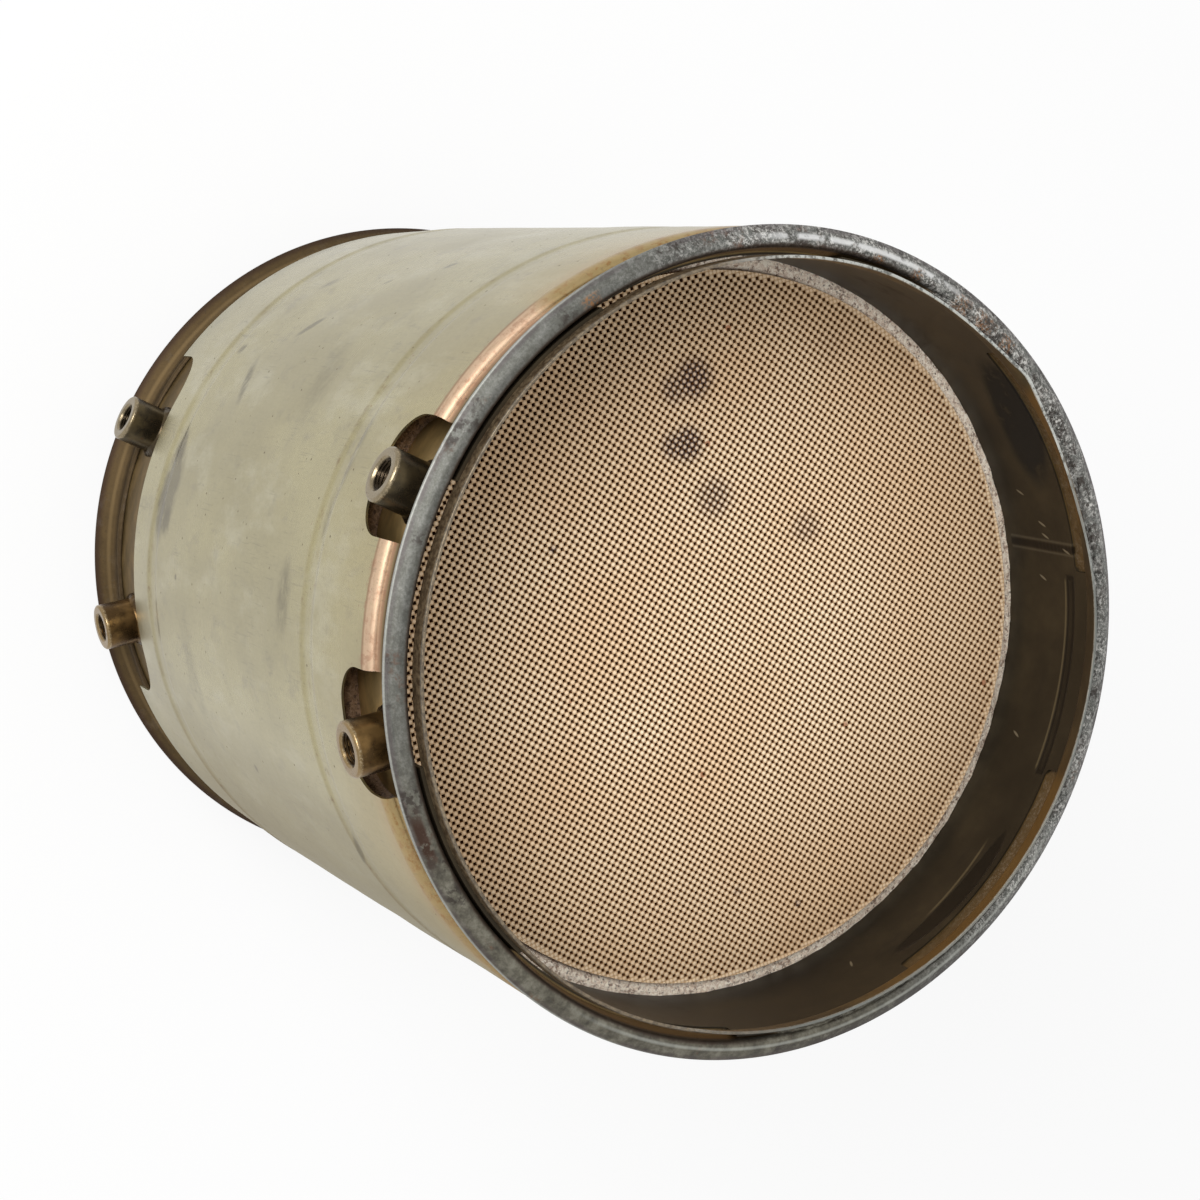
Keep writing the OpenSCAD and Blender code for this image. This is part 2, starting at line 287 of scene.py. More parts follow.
def eased_line(corners, steps=3):
    """A closed line through corners (x, y, radius): each corner is a quadratic curve between two cut points."""
    corners = np.asarray(corners, float)
    p, r = corners[:, :2], corners[:, 2:3]
    before, after = np.roll(p, 1, 0) - p, np.roll(p, -1, 0) - p
    lb, la = np.linalg.norm(before, axis=1)[:, None], np.linalg.norm(after, axis=1)[:, None]
    a, b = p + before / lb * np.minimum(r, lb / 2.2), p + after / la * np.minimum(r, la / 2.2)
    t = np.linspace(0, 1, steps + 1)[None, :, None]
    curve = (1 - t) ** 2 * a[:, None] + 2 * t * (1 - t) * p[:, None] + t * t * b[:, None]
    line = curve.reshape(-1, 2)
    apart = np.linalg.norm(line - np.roll(line, 1, 0), axis=1) > 1e-6
    return line[apart]


def split_long(line, longest):
    """The same closed line with its long pieces cut into equal ones no longer than given."""
    out = []
    for a, b in zip(line, np.roll(line, -1, 0)):
        k = max(int(math.ceil(np.linalg.norm(b - a) / longest)), 1)
        out.append(a + (b - a) * np.arange(k)[:, None] / k)
    return np.concatenate(out)


def add_piece(name, points, faces, finish, slot, *nodes, sharp=32):
    """Puts points (millimetres) and quads into a mesh, shades it smooth up to the given angle,
    and lets the piece ride on the frame in place of the named solids."""
    used, faces = np.unique(faces, return_inverse=True)
    faces = faces.reshape(-1, 4)
    points = points[used]
    mesh = bpy.data.meshes.new(name)
    mesh.vertices.add(len(points))
    mesh.vertices.foreach_set("co", (points * MM).astype(np.float32).ravel())
    mesh.loops.add(faces.size)
    mesh.loops.foreach_set("vertex_index", faces.astype(np.int32).ravel())
    mesh.polygons.add(len(faces))
    mesh.polygons.foreach_set("loop_start", (np.arange(len(faces)) * 4).astype(np.int32))
    mesh.update(calc_edges=True)
    mesh.validate()
    mesh.set_sharp_from_angle(angle=math.radians(sharp))
    piece = bpy.data.objects.new(name, mesh)
    bpy.context.scene.collection.objects.link(piece)
    mesh.materials.append(finish)
    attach(piece, "root")
    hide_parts(*nodes)
    return piece


# ---------------------------------------------------------------- materials

def tone(red, green, blue):
    """A display colour 0-255 as a linear colour."""
    c = np.array([red, green, blue]) / 255
    c = np.where(c <= 0.04045, c / 12.92, ((c + 0.055) / 1.055) ** 2.4)
    return (*[float(v) for v in c], 1.0)


class Field:
    """A socket of a material's nodes. Sums, products and powers of fields add their Math nodes."""

    def __init__(self, finish, socket):
        self.finish, self.socket = finish, socket

    def math(self, operation, *others, first=None, clamp=False):
        values = [self, *others] if first is None else [first, self]
        return self.finish.add("ShaderNodeMath", {"operation": operation, "use_clamp": clamp},
                dict(enumerate(values)))

    def __add__(self, other): return self.math("ADD", other)
    def __sub__(self, other): return self.math("SUBTRACT", other)
    def __mul__(self, other): return self.math("MULTIPLY", other)
    def __truediv__(self, other): return self.math("DIVIDE", other)
    def __pow__(self, other): return self.math("POWER", other)
    def __rsub__(self, other): return self.math("SUBTRACT", first=other)
    def __neg__(self): return self.math("MULTIPLY", -1.0)
    def __abs__(self): return self.math("ABSOLUTE")
    __radd__, __rmul__ = __add__, __mul__

    def clip(self): return self.math("ADD", 0.0, clamp=True)
    def least(self, other): return self.math("MINIMUM", other)
    def most(self, other): return self.math("MAXIMUM", other)

    def step(self, start, end):
        """0 at start, 1 at end, eased between them; also where end lies below start."""
        return self.finish.add("ShaderNodeMapRange", {"interpolation_type": "SMOOTHSTEP"},
                               {"Value": self, "From Min": start, "From Max": end})

    def band(self, low, high, soft):
        """1 between low and high, fading over the width soft at both ends."""
        return self.step(low - soft, low + soft) * self.step(high + soft, high - soft)


class Nodes:
    """The emptied node tree of a new material or world."""

    def __init__(self, owner):
        owner.use_nodes = True
        self.owner, self.tree = owner, owner.node_tree
        self.tree.nodes.clear()

    def link(self, sockets, node):
        """Puts fields and plain values on the sockets of a node; None leaves a socket alone."""
        for key, value in sockets.items():
            if isinstance(value, Field):
                self.tree.links.new(value.socket, node.inputs[key])
            elif value is not None:
                node.inputs[key].default_value = value

    def add(self, kind, settings, sockets, out=0):
        """A node of the given kind: its settings first, then values or fields for its sockets."""
        node = self.tree.nodes.new(kind)
        for key, value in settings.items():
            if key == "stops":
                ramp = node.color_ramp
                while len(ramp.elements) < len(value):
                    ramp.elements.new(0.5)
                for element, (position, colour) in zip(ramp.elements, value):
                    element.position, element.color = position, colour
            else:
                setattr(node, key, value)
        self.link(sockets, node)
        return Field(self, node.outputs[out]) if node.outputs else node

    def seen_rays(self):
        """1 for camera, mirror and transmission rays, 0 for the others."""
        camera, glossy, through = [self.add("ShaderNodeLightPath", {}, {}, f"Is {kind} Ray")
                                   for kind in ("Camera", "Glossy", "Transmission")]
        return camera.most(glossy).most(through)


class Finish(Nodes):
    """A material in the making. Its fields are worked out from object coordinates in millimetres."""

    def __init__(self, name, **constants):
        self.material = bpy.data.materials.new(name)
        super().__init__(self.material)
        shader = self.add("ShaderNodeBsdfPrincipled", {}, {})
        self.bsdf = shader.socket.node
        self.add("ShaderNodeOutputMaterial", {}, {0: shader})
        for key, value in constants.items():
            self.bsdf.inputs[key.replace("_", " ")].default_value = value
        place = self.add("ShaderNodeTexCoord", {}, {}, "Object")
        self.place = self.add("ShaderNodeVectorMath", {"operation": "SCALE"}, {0: place, "Scale": 1000.0})
        split = self.add("ShaderNodeSeparateXYZ", {}, {0: self.place})
        node = split.socket.node
        self.x, self.y, self.level = [Field(self, node.outputs[k]) for k in range(3)]
        self.radius = (self.x * self.x + self.y * self.y).math("SQRT")
        self.turn = self.x.math("ARCTAN2", -self.y) * (180 / math.pi)
        self.below = RIM_Z - self.level

    def from_turn(self, degrees):
        """Signed distance round the axis from an angle, in degrees, without a jump at the back."""
        return (self.turn - degrees).math("WRAP", 180.0, -180.0)

    def moved(self, size, stretch, shift):
        """The place over size and stretch, moved by a shift."""
        return self.add("ShaderNodeVectorMath", {"operation": "MULTIPLY_ADD"},
                        {0: self.place, 1: tuple(1 / (size * s) for s in stretch), 2: shift})

    def noise(self, size, detail=3.0, rough=0.5, stretch=(1, 1, 1), seed=0.0, warp=0.0):
        """Cloud noise whose patches are about size millimetres, drawn out by stretch along each axis."""
        at = self.moved(size, stretch, (seed, seed * 1.7, -seed))
        return self.add("ShaderNodeTexNoise", {"noise_dimensions": "3D"},
                        {"Vector": at, "Scale": 1.0, "Detail": detail, "Roughness": rough, "Distortion": warp})

    def cells(self, size, seed):
        """Distance to the nearest of scattered points about size millimetres apart, as a share of size."""
        at = self.moved(size, (1, 1, 1), (seed, -seed, seed * 2.3))
        return self.add("ShaderNodeTexVoronoi", {}, {"Vector": at, "Scale": 1.0}, "Distance")

    def mix(self, share, first, second):
        return self.add("ShaderNodeMix", {"data_type": "RGBA", "clamp_factor": True},
                {0: share, 6: first, 7: second}, 2)

    def ramp(self, value, *stops):
        return self.add("ShaderNodeValToRGB", {"stops": stops}, {0: value}, "Color")

    def scaled(self, colour, factor):
        """A colour whose channels are multiplied by one field."""
        return self.add("ShaderNodeVectorMath", {"operation": "SCALE"}, {0: colour, "Scale": factor})

    def lay(self, share, *colour):
        """Covers the base colour by a share of another: a colour field, or display values 0-255."""
        self.base = self.mix(share, self.base, tone(*colour) if len(colour) == 3 else colour[0])

    def shade(self, factor):
        """Multiplies the base colour by a field."""
        self.base = self.scaled(self.base, factor)

    def spot(self, degrees, level, across, along, tilt=0.0, radius=171.0, soft=0.5):
        """1 inside an ellipse on the wall, centred on an angle and a level, fading to 0 at its edge."""
        arc, c, s = DEG * radius, math.cos(tilt * DEG), math.sin(tilt * DEG)
        turn = self.turn.math("WRAP", degrees + 180.0, degrees - 180.0)
        u, v = [turn.math("MULTIPLY_ADD", a, self.level.math("MULTIPLY_ADD", b, -a * degrees - b * level))
                for a, b in ((arc * c / across, s / across), (-arc * s / along, c / along))]
        return u.math("MULTIPLY_ADD", u, v * v).math("SQRT").step(1.0, 1.0 - soft)

    def dot(self, x, y, size, soft=0.6):
        """1 inside a circle on an end face, fading to 0 at its edge."""
        u, v = self.x - x, self.y - y
        return u.math("MULTIPLY_ADD", u, v * v).math("SQRT").step(size, size * (1 - soft))

    def done(self, rough=None, metal=None, height=None, relief=0.3):
        """Links the base colour and the fields to the shader; height is a surface height in millimetres."""
        sockets = {"Base Color": self.base, "Roughness": rough, "Metallic": metal}
        if height is not None:
            sockets["Normal"] = self.add("ShaderNodeBump", {},
                    {"Height": height * MM, "Strength": relief, "Distance": 1.0})
        self.link(sockets, self.bsdf)
        return self.material


def shield_finish(p):
    """Rolled stainless sheet: olive tarnish, copper and straw tint at the front, painted shade on the lower side, at
    the neck and along the shoulder's edges, grime and painted crease shade along the grooves.
    """
    f = Finish("tarnished shield sheet", Specular_IOR_Level=0.2)
    cloud = f.noise(60, 4, 0.55, (1, 1, 1.6), 3.0)
    fine = f.noise(0.9, 2, 0.6, (50, 50, 1), 5.0)
    length = f.noise(0.9, 3, 0.6, (1, 1, 60), 51.0)
    speck = f.noise(5, 5, 0.65, seed=9.0)
    f.base = f.mix(cloud.step(0.38, 0.64), (*p.shield_colour, 1.0), tone(158, 149, 116))
    f.lay(f.noise(24, 5, 0.62, (1, 1, 2.2), 14.0).step(0.5, 0.72) * 0.55, 184, 178, 152)
    f.lay(f.noise(11, 5, 0.68, (1, 1, 1.5), 71.0).step(0.52, 0.72) * 0.4, 134, 126, 106)
    # Painted shade: the lower side, round 87 degrees, is painted darker; the same mask makes that side rougher and
    # less metallic.
    painted_shade_side = abs(f.from_turn(87)).step(68, 34)
    f.lay(painted_shade_side * (0.65 + 0.3 * cloud), 142, 130, 99)
    near = abs(f.from_turn(-13)).step(38, 32)
    straw = f.below.step(95, 18) * (0.35 + 0.9 * f.noise(40, 4, 0.55, seed=21.0)) * (1.15 - 0.75 * near)
    f.lay((straw * 0.5).clip(), 168, 144, 88)
    worn = f.noise(5, 5, 0.7, (1, 1, 1), 2.0)
    shoulder = f.below.band(15.2, 22.6, 1.4) * (0.12 + 0.88 * near)
    brushed = f.noise(1.3, 4, 0.7, (9, 9, 1), 18.0)
    f.lay((shoulder * (0.45 + 0.8 * worn)).clip(), 208, 178, 152)
    f.lay(brushed.step(0.5, 0.68) * shoulder * 0.4, 164, 124, 98)
    # Painted shade: darker lines along both edges of the rounded shoulder, near the notches.
    f.lay(f.below.band(14.6, 16.4, 0.8).most(f.below.band(22.2, 23.6, 0.6)) * near * 0.6, 140, 100, 76)
    ends = worn.step(0.5, 0.64) * f.below.band(15.0, 25.5, 1.5)
    f.lay(ends * 0.45, 146, 104, 76)
    gold = f.below.band(14, 30, 8) * (1 - near) * (0.4 + 0.6 * cloud)
    f.lay(gold * 0.5, 164, 128, 72)
    stains = f.noise(5, 5, 0.7, (1, 1, 0.6), 87.0).step(0.52, 0.66) * f.below.band(13, 24, 4) * (1 - near)
    f.lay(stains * 0.6, 142, 94, 46)
    # Painted shadow: the neck under the flange is painted dark brown.
    neck = f.below.step(15.8, 13.4)
    f.lay(neck * 0.9, 84, 62, 42)
    grime = f.noise(7, 5, 0.72, (1, 1, 0.7), 31.0).step(0.54, 0.74)
    for start in GROOVES:
        # Grime and painted crease shade: dark lines at both edges of each groove, stronger with the grime and on the
        # shaded lower side.
        edge = f.below.band(start + 0.8, start + 2.6, 1.0).most(f.below.band(start + 13.0, start + 14.8, 1.0))
        f.lay((edge * (0.06 + 0.3 * painted_shade_side + 0.5 * grime)).clip(), 108, 84, 60)
        f.lay(f.below.band(start - 3, start + 20, 5) * grime * 0.4, 124, 98, 72)
    smear = f.noise(9, 5, 0.65, (1, 1, 0.5), 44.0).step(0.22, 0.62)
    clear = 1.0
    for degrees, level, across, along, tilt, depth in SMEARS:
        mark = (f.spot(degrees, level, across, along, tilt, soft=0.8) * smear).math("MULTIPLY", depth
                * 2.4, clamp=True)
        clear = clear * (1 - mark * 0.75)
    f.lay(1 - clear, 104, 95, 72)
    scuff = f.noise(0.7, 2, 0.5, (1, 1, 26), 81.0).step(0.6, 0.7) * f.noise(30, 3, 0.6, seed=83.0).step(0.46, 0.6)
    f.lay(scuff * 0.35, 118, 110, 90)
    smudge = (f.noise(2.6, 5, 0.75, (1, 1, 3), 91.0).step(0.58, 0.7)
            * f.noise(38, 4, 0.6, seed=93.0).step(0.5, 0.62))
    f.lay(smudge * 0.45, 104, 98, 84)
    freckle = (f.cells(4, 6.0).step(0.16, 0.08) * f.noise(16, 3, 0.6, seed=57.0).step(0.52, 0.64)
            * f.below.band(24, 98, 12))
    f.lay(freckle * 0.6, 132, 92, 68)
    pits = f.cells(7, 3.0).step(0.1, 0.05) * speck.step(0.46, 0.58)
    f.lay(pits * 0.75, 74, 56, 42)
    tail = f.level.step(INLET_RIM_Z + 52, INLET_RIM_Z + 32) * 0.25
    f.lay(tail, 150, 150, 128)
    f.shade(0.93 + 0.07 * fine + 0.07 * length)
    f.shade(0.86 + 0.28 * f.noise(1.8, 4, 0.75, (1, 1, 1.6), 97.0))
    rough = (0.2 + 0.1 * cloud + 0.1 * speck * grime + 0.3 * pits + 0.06 * fine + 0.24 * shoulder).clip()
    height = cloud * 0.10 + fine * 0.006 + length * 0.005 + speck * 0.012 - pits * 0.05
    return f.done((rough + 0.25 * painted_shade_side).clip(), 0.9 - 0.78 * painted_shade_side, height, 0.5)


def flange_finish(p, name, heated):
    """Clamp flange steel. The outlet one is blue-grey by the bosses, olive below and pitted with pale oxide,
    scale and rust on the far side, with painted highlights on its outer rim, lip crest and a silver band, and painted
    shade at its inner edge and throat. The heated one is golden brown with a dark rim."""
    f = Finish(name, Metallic=0.6)
    mottle = f.noise(6, 6, 0.68, seed=4.0)
    fine = f.noise(1.2, 4, 0.75, seed=8.0)
    lines = f.noise(0.6, 3, 0.6, (40, 40, 1), 61.0)
    coarse = f.noise(26, 3, 0.5, seed=73.0)
    far = abs(f.from_turn(214)).step(98, 60)
    filled = abs(f.from_turn(175)).step(88, 74)
    low = abs(f.from_turn(72)).step(62, 34)
    f.base = f.ramp(mottle * 0.5 + fine * 0.5, (0.34, tone(66, 64, 62)), (0.46, (*p.flange_colour, 1.0)),
            (0.58, tone(132, 132, 128)), (0.72, tone(178, 177, 170)))
    f.lay((1 - far) * 0.6, f.mix(lines, tone(68, 69, 66), tone(106, 104, 94)))
    f.lay(low * 0.6, f.ramp(mottle, (0.36, tone(66, 60, 48)), (0.5, tone(104, 98, 82)),
            (0.64, tone(138, 133, 116))))
    umber = f.noise(8, 6, 0.72, seed=43.0).step(0.48, 0.6) * far
    f.lay(umber * 0.45, 84, 74, 70)
    pale = (f.noise(1.6, 5, 0.8, seed=37.0).step(0.49, 0.57) * far
            * (0.45 + 0.55 * f.noise(13, 4, 0.6, seed=47.0).step(0.4, 0.58)))
    f.lay(pale * 0.85, 208, 206, 200)
    pit = f.noise(2.2, 5, 0.8, seed=39.0).step(0.53, 0.6) * (far * 0.8 + 0.04) * coarse.step(0.36, 0.55)
    f.lay(pit.clip() * 0.85, 40, 36, 34)
    violet = f.radius.step(RIM_R - 2.6, RIM_R - 1.2) * f.noise(12, 4, 0.6, seed=33.0).step(0.35, 0.55)
    f.lay(violet * 0.5, 80, 70, 72)
    # Painted shade at the inner edge, broken by noise, where the gap is not filled with scale.
    inner = (f.radius.step(RIM_R - 6.6, RIM_R - 8.0) * (1 - filled)
            * f.noise(4, 4, 0.65, seed=49.0).step(0.25, 0.55))
    f.lay(inner * 0.7, 70, 56, 46)
    rust = f.noise(15, 5, 0.7, seed=13.0).step(0.56, 0.68) * f.noise(2.6, 4, 0.65, seed=17.0).step(0.45, 0.6)
    f.lay(rust * 0.6, 92, 58, 36)
    for degrees, size in ((246, 7), (241, 9), (236, 6), (255, 4), (-51, 6), (262, 4)):
        place = (f.spot(degrees, RIM_Z + 2.5, size, 2.8, radius=168, soft=0.8)
                * f.radius.step(RIM_R - 3.0, RIM_R - 4.5))
        f.lay(place * fine.step(0.46, 0.58) * 0.75, 146, 96, 44)
    scale = f.noise(20, 4, 0.6, seed=23.0).step(0.55, 0.65) * f.noise(3.4, 4, 0.65, seed=27.0).step(0.46, 0.56)
    crust = (abs(f.from_turn(224)).step(34, 20) * f.radius.step(RIM_R - 4.4, RIM_R - 6.0)
            * f.noise(3.4, 4, 0.7, seed=63.0).step(0.5, 0.58))
    brown = (abs(f.from_turn(122)).step(26, 16) * f.radius.step(RIM_R - 5.0, RIM_R - 4.2)
            * f.noise(6, 5, 0.75, seed=67.0).step(0.4, 0.54))
    scale = scale.most(crust).most(brown * 0.85)
    f.lay(scale * 0.85, 44, 36, 30)
    stain = f.spot(29.5, RIM_Z + 1.5, 17, 8, radius=170, soft=0.7) * f.radius.band(RIM_R - 5.5, RIM_R - 1.4, 0.8)
    f.lay(stain * f.noise(4, 4, 0.7, seed=77.0).step(0.36, 0.5), 62, 44, 34)
    # Painted highlight: a light band on the lip crest, round 112 degrees.
    crest_highlight = f.radius.band(RIM_R - 6.2, RIM_R - 4.9, 0.5) * f.below.step(0, -2) * abs(f.from_turn(112)).step(52, 34)
    f.lay(crest_highlight * (0.25 + 0.35 * mottle), 186, 188, 180)
    # Painted highlight: a silver band on the seal face round -96 degrees, which is also made smoother.
    silver_highlight = (abs(f.from_turn(-96)).step(22, 10) * f.radius.band(RIM_R - 5.6, RIM_R - 3.4, 0.7)
            * f.noise(7, 4, 0.6, seed=53.0).step(0.36, 0.5))
    f.lay(silver_highlight * 0.9, 222, 222, 220)
    # Painted highlight: a light line on the outer rim edge on the near side.
    outer = (f.radius.step(RIM_R - 0.9, RIM_R - 0.3) * f.below.band(-0.4, 0.7, 0.3)
            * abs(f.from_turn(10)).step(80, 50))
    f.lay(outer * (0.3 + 0.5 * fine), 188, 190, 182)
    # Painted shade in the throat, where the gap is not filled with scale.
    throat_shade = f.radius.step(RIM_R - 7.2, RIM_R - 8.4) * (1 - filled)
    f.lay(throat_shade * 0.75, 52, 42, 34)
    f.lay(f.radius.step(RIM_R - 6.9, RIM_R - 7.9) * f.below.step(-1.2, 0.6) * 0.9, 98, 76, 42)
    back = (f.radius + 0.9 * f.below).step(169.6, 170.6) * f.below.step(0.8, 2.4)
    f.lay(back * 0.6, 96, 80, 54)
    if heated:
        f.base = f.mix(mottle, tone(60, 46, 24), tone(98, 78, 46))
        f.lay(fine.step(0.56, 0.7) * 0.5, 46, 34, 20)
        f.lay(f.radius.step(RIM_R - 3.4, RIM_R - 0.6) * 0.85, 56, 38, 24)
        f.lay(f.radius.band(RIM_R - 6.4, RIM_R - 5.0, 0.6) * f.level.step(5, 6) * 0.4, 128, 106, 70)
        f.lay(f.radius.step(RIM_R - 7.4, RIM_R - 9.0) * f.level.step(9, 11) * 0.45, 46, 34, 20)
    f.shade(0.9 + 0.2 * lines)
    rough = (0.4 + 0.2 * mottle + 0.3 * rust + 0.1 * lines + 0.15 * pit - 0.12 * silver_highlight).clip()
    metal = (0.68 - 0.5 * rust - 0.3 * scale - 0.3 * pale).clip()
    height = mottle * 0.10 + fine * 0.06 + rust * 0.05 - scale * 0.04 - pit * 0.12 + pale * 0.04 + lines * 0.012
    return f.done(rough, metal, height, 0.75)


def can_finish(p):
    """The can: grey-brown scorched steel, sooted inside, with a dark weld seam and an embossed back panel whose edges
    carry painted highlights, and painted shade on the side round 96 degrees. Outside, in the notches and the recess,
    it is tinted golden by heat, with painted shade in the inlet recess and painted light in the outlet notches."""
    f = Finish("scorched can steel", Specular_IOR_Level=0.25)
    cloud = f.noise(34, 5, 0.6, seed=6.0)
    fine = f.noise(1.0, 3, 0.6, (30, 30, 1), 11.0)
    f.base = f.ramp(cloud, (0.3, tone(48, 42, 32)), (0.5, (*p.can_colour, 1.0)), (0.72, tone(72, 63, 47)))
    outside = f.radius.step(CAN_R - 0.9, CAN_R - 0.4) * f.below.step(6.6, 9.0)
    golden = f.mix(f.noise(14, 4, 0.6, (1, 1, 0.5), 41.0).step(0.35, 0.7), tone(122, 102, 66), tone(150, 124, 80))
    # Painted light and shade: the golden tint is made darker in the inlet recess and lighter in the outlet notches.
    golden = f.scaled(golden, 0.7 + 0.7 * f.level.step(250, 350))
    # Painted shade: the can is painted darker on the side round 96 degrees.
    f.shade(1 - 0.3 * abs(f.from_turn(96)).step(40, 12))
    f.lay(outside, golden)
    soot = (f.spot(222, RIM_Z - 18, 40, 17, 10, radius=160, soft=0.45)
            * (0.5 + 0.9 * f.noise(9, 4, 0.65, seed=19.0).step(0.28, 0.5)))
    soot = soot.most(f.spot(217, RIM_Z - 25, 20, 11, 5, radius=160, soft=0.6)
            * f.noise(6, 4, 0.6, seed=59.0).step(0.26, 0.5))
    soot = soot.most(f.noise(40, 4, 0.6, (1, 1, 0.5), 29.0).step(0.58, 0.75) * 0.4)
    f.lay((soot * (1 - outside)).clip() * 0.85, 16, 13, 11)
    seam = abs(f.from_turn(SEAM_DEGREES))
    f.lay(seam.step(0.75, 0.35) * f.below.band(2.6, 51.6, 0.4) * 0.75, 34, 28, 22)
    f.lay(seam.band(0.75, 1.1, 0.2) * f.below.band(2.6, 51.6, 0.4) * 0.2, 150, 140, 120)
    panel = abs(f.from_turn(179))
    line = panel.step(16.4, 15.9) * f.below.band(9.0, 14.0, 0.5)
    line = line * (1 - panel.step(15.6, 15.2) * f.below.band(10.6, 12.6, 0.5) * 0.5)
    sunk = (abs(f.from_turn(139)) / 13.5) ** 2.0 + ((f.below - 16.0 + 0.10 * f.from_turn(139)) / 5.4) ** 2.0
    slot = line.most(sunk.step(1.15, 0.75))
    f.lay(slot * (1 - outside) * 0.75, 24, 20, 16)
    # Painted highlights: light lines along the lower edge of the sunk stadium and of the back panel.
    edge = f.below.band(22.2, 23.4, 0.5) * abs(f.from_turn(142)).step(9, 5)
    edge = edge.most(panel.step(15.8, 14.8) * f.below.band(14.6, 15.6, 0.4))
    f.lay(edge * (1 - outside) * 0.5, 132, 120, 92)
    for degrees, below in ((-161, 12), (-159, 26), (-157, 27), (-152, 38), (-166, 31), (120, 30), (168, 36)):
        f.lay(f.spot(degrees, RIM_Z - below, 0.7, 3.2, 25, radius=160, soft=0.5) * (1 - outside)
                * 0.5, 170, 160, 136)
    rough = (0.36 + 0.16 * cloud + 0.25 * soot).clip()
    height = cloud * 0.08 + fine * 0.008 - slot * (1 - outside) * 0.5
    return f.done(rough, (0.55 + 0.3 * outside - 0.4 * soot).clip(), height, 0.6)


def ring_finish(p):
    """The pilot ring: brown and straw heat tint with a painted golden reflection by the dent, darker over the back
    panel, dull edge with bright wear and a painted highlight.
    """
    f = Finish("heat tinted pilot ring", Metallic=0.75)
    cloud = f.noise(22, 4, 0.6, (1, 1, 0.4), 7.0)
    f.base = f.ramp(cloud, (0.3, tone(62, 52, 38)), (0.52, tone(82, 70, 50)), (0.72, tone(108, 92, 62)))
    # Heat tint round 142 degrees. Round 216 degrees, by the dent, the gold is a painted reflection.
    gold = abs(f.from_turn(142)).step(34, 16).most(abs(f.from_turn(216)).step(14, 10))
    f.lay(gold * 0.65, 128, 98, 50)
    dark = abs(f.from_turn(179)).step(17.0, 14.0)
    f.lay(dark * 0.5, 62, 54, 42)
    patch = f.spot(-113, RIM_Z + 2, 26, 5, radius=160, soft=0.5)
    f.lay(patch * 0.6, 52, 44, 34)
    near = abs(f.from_turn(0)).step(110, 80)
    rough_skin = f.noise(2.2, 5, 0.75, seed=25.0)
    f.lay(near * 0.85, f.mix(rough_skin.step(0.4, 0.62), tone(92, 74, 54), tone(150, 130, 102)))
    f.lay(near * rough_skin.step(0.66, 0.72) * 0.8, 206, 186, 130)
    edge = f.level.step(RING_TOP - 1.3, RING_TOP - 0.7)
    bright = abs(f.from_turn(250)).step(42, 26)
    grit = f.noise(3, 4, 0.7, seed=15.0)
    flat = (1 - near * 0.75) * (0.55 + 0.4 * grit)
    f.lay((edge * flat).clip(), 138, 142, 138)
    # Bright wear and a painted highlight along the ring's top edge, strongest on the far side round 250 degrees.
    wear_and_highlight = f.noise(2.4, 5, 0.75, (1.5, 1.5, 0.6), 35.0).step(0.38, 0.52)
    f.lay((edge * wear_and_highlight * (f.level.band(RING_TOP - 1.2, RING_TOP - 0.5, 0.15) * flat + bright * 0.9)).clip(),
            200, 202, 196)
    f.lay(edge * bright * (1 - wear_and_highlight) * 0.7, 104, 106, 104)
    rough = (0.34 + 0.2 * cloud + 0.1 * grit).clip()
    return f.done(rough, None, cloud * 0.1 + f.noise(1.0, 3, 0.6, (24, 24, 1), 3.0) * 0.01 + grit * 0.03, 0.6)


def ceramic_finish(s, p):
    """Wall-flow honeycomb: cream plugs with rounded rims, tan walls, dark open channels, soot round some, painted
    shade towards the rim and the left.
    """
    f = Finish("honeycomb ceramic", Roughness=0.92, Specular_IOR_Level=0.2)
    turn = math.radians(s.cell_turn)
    pitch = s.cell_pitch * 1000
    u = (f.x * math.cos(turn) + f.y * math.sin(turn)) / pitch
    v = (f.y * math.cos(turn) - f.x * math.sin(turn)) / pitch
    du, dv = (u + 0.5).math("FRACT") - 0.5, (v + 0.5).math("FRACT") - 0.5
    plug = (du * du + dv * dv).math("SQRT").step(0.56, 0.28)
    cloud = f.noise(60, 4, 0.55, seed=2.0)
    grain = f.noise(2.3, 3, 0.6, seed=5.0)
    f.base = f.mix(cloud.step(0.35, 0.7), (*p.ceramic_colour, 1.0), tone(246, 216, 180))
    f.shade(0.9 + 0.16 * grain)
    f.lay((1 - plug) * 0.85, 174, 138, 98)
    # Painted shade: the face is painted darker towards the rim, next to the can, and towards the left.
    painted_rim_shade = f.radius.step(50, 170) * 0.5 + f.dot(-95, -60, 90, 0.9) * 0.12
    f.lay(painted_rim_shade.clip(), 174, 142, 106)
    patchy = f.noise(4, 4, 0.6, seed=12.0)
    dark = f.dot(-128, 40, 14, 0.8) * 0.15
    for x, y, size, depth in SOOTED_CHANNELS:
        dark = dark.most(f.dot(x, y, size, 0.75) * depth * (0.6 + 0.75 * patchy))
    f.lay((dark * (1.3 - 0.85 * plug)).clip() * 0.92, f.mix(plug, tone(54, 38, 36), tone(146, 124, 116)))
    rusty = f.cells(34, 2.0).step(0.05, 0.03)
    f.lay(rusty * 0.7, 150, 88, 56)
    end = f.level.step(BRICK_TOP - 0.5, BRICK_TOP - 0.1).most(f.level.step(BRICK_LOW + 0.5, BRICK_LOW + 0.1))
    f.base = f.mix(end, tone(128, 82, 40), f.base)
    return f.done(None, None, (plug * 0.35 + grain * 0.12) * end, 0.6)


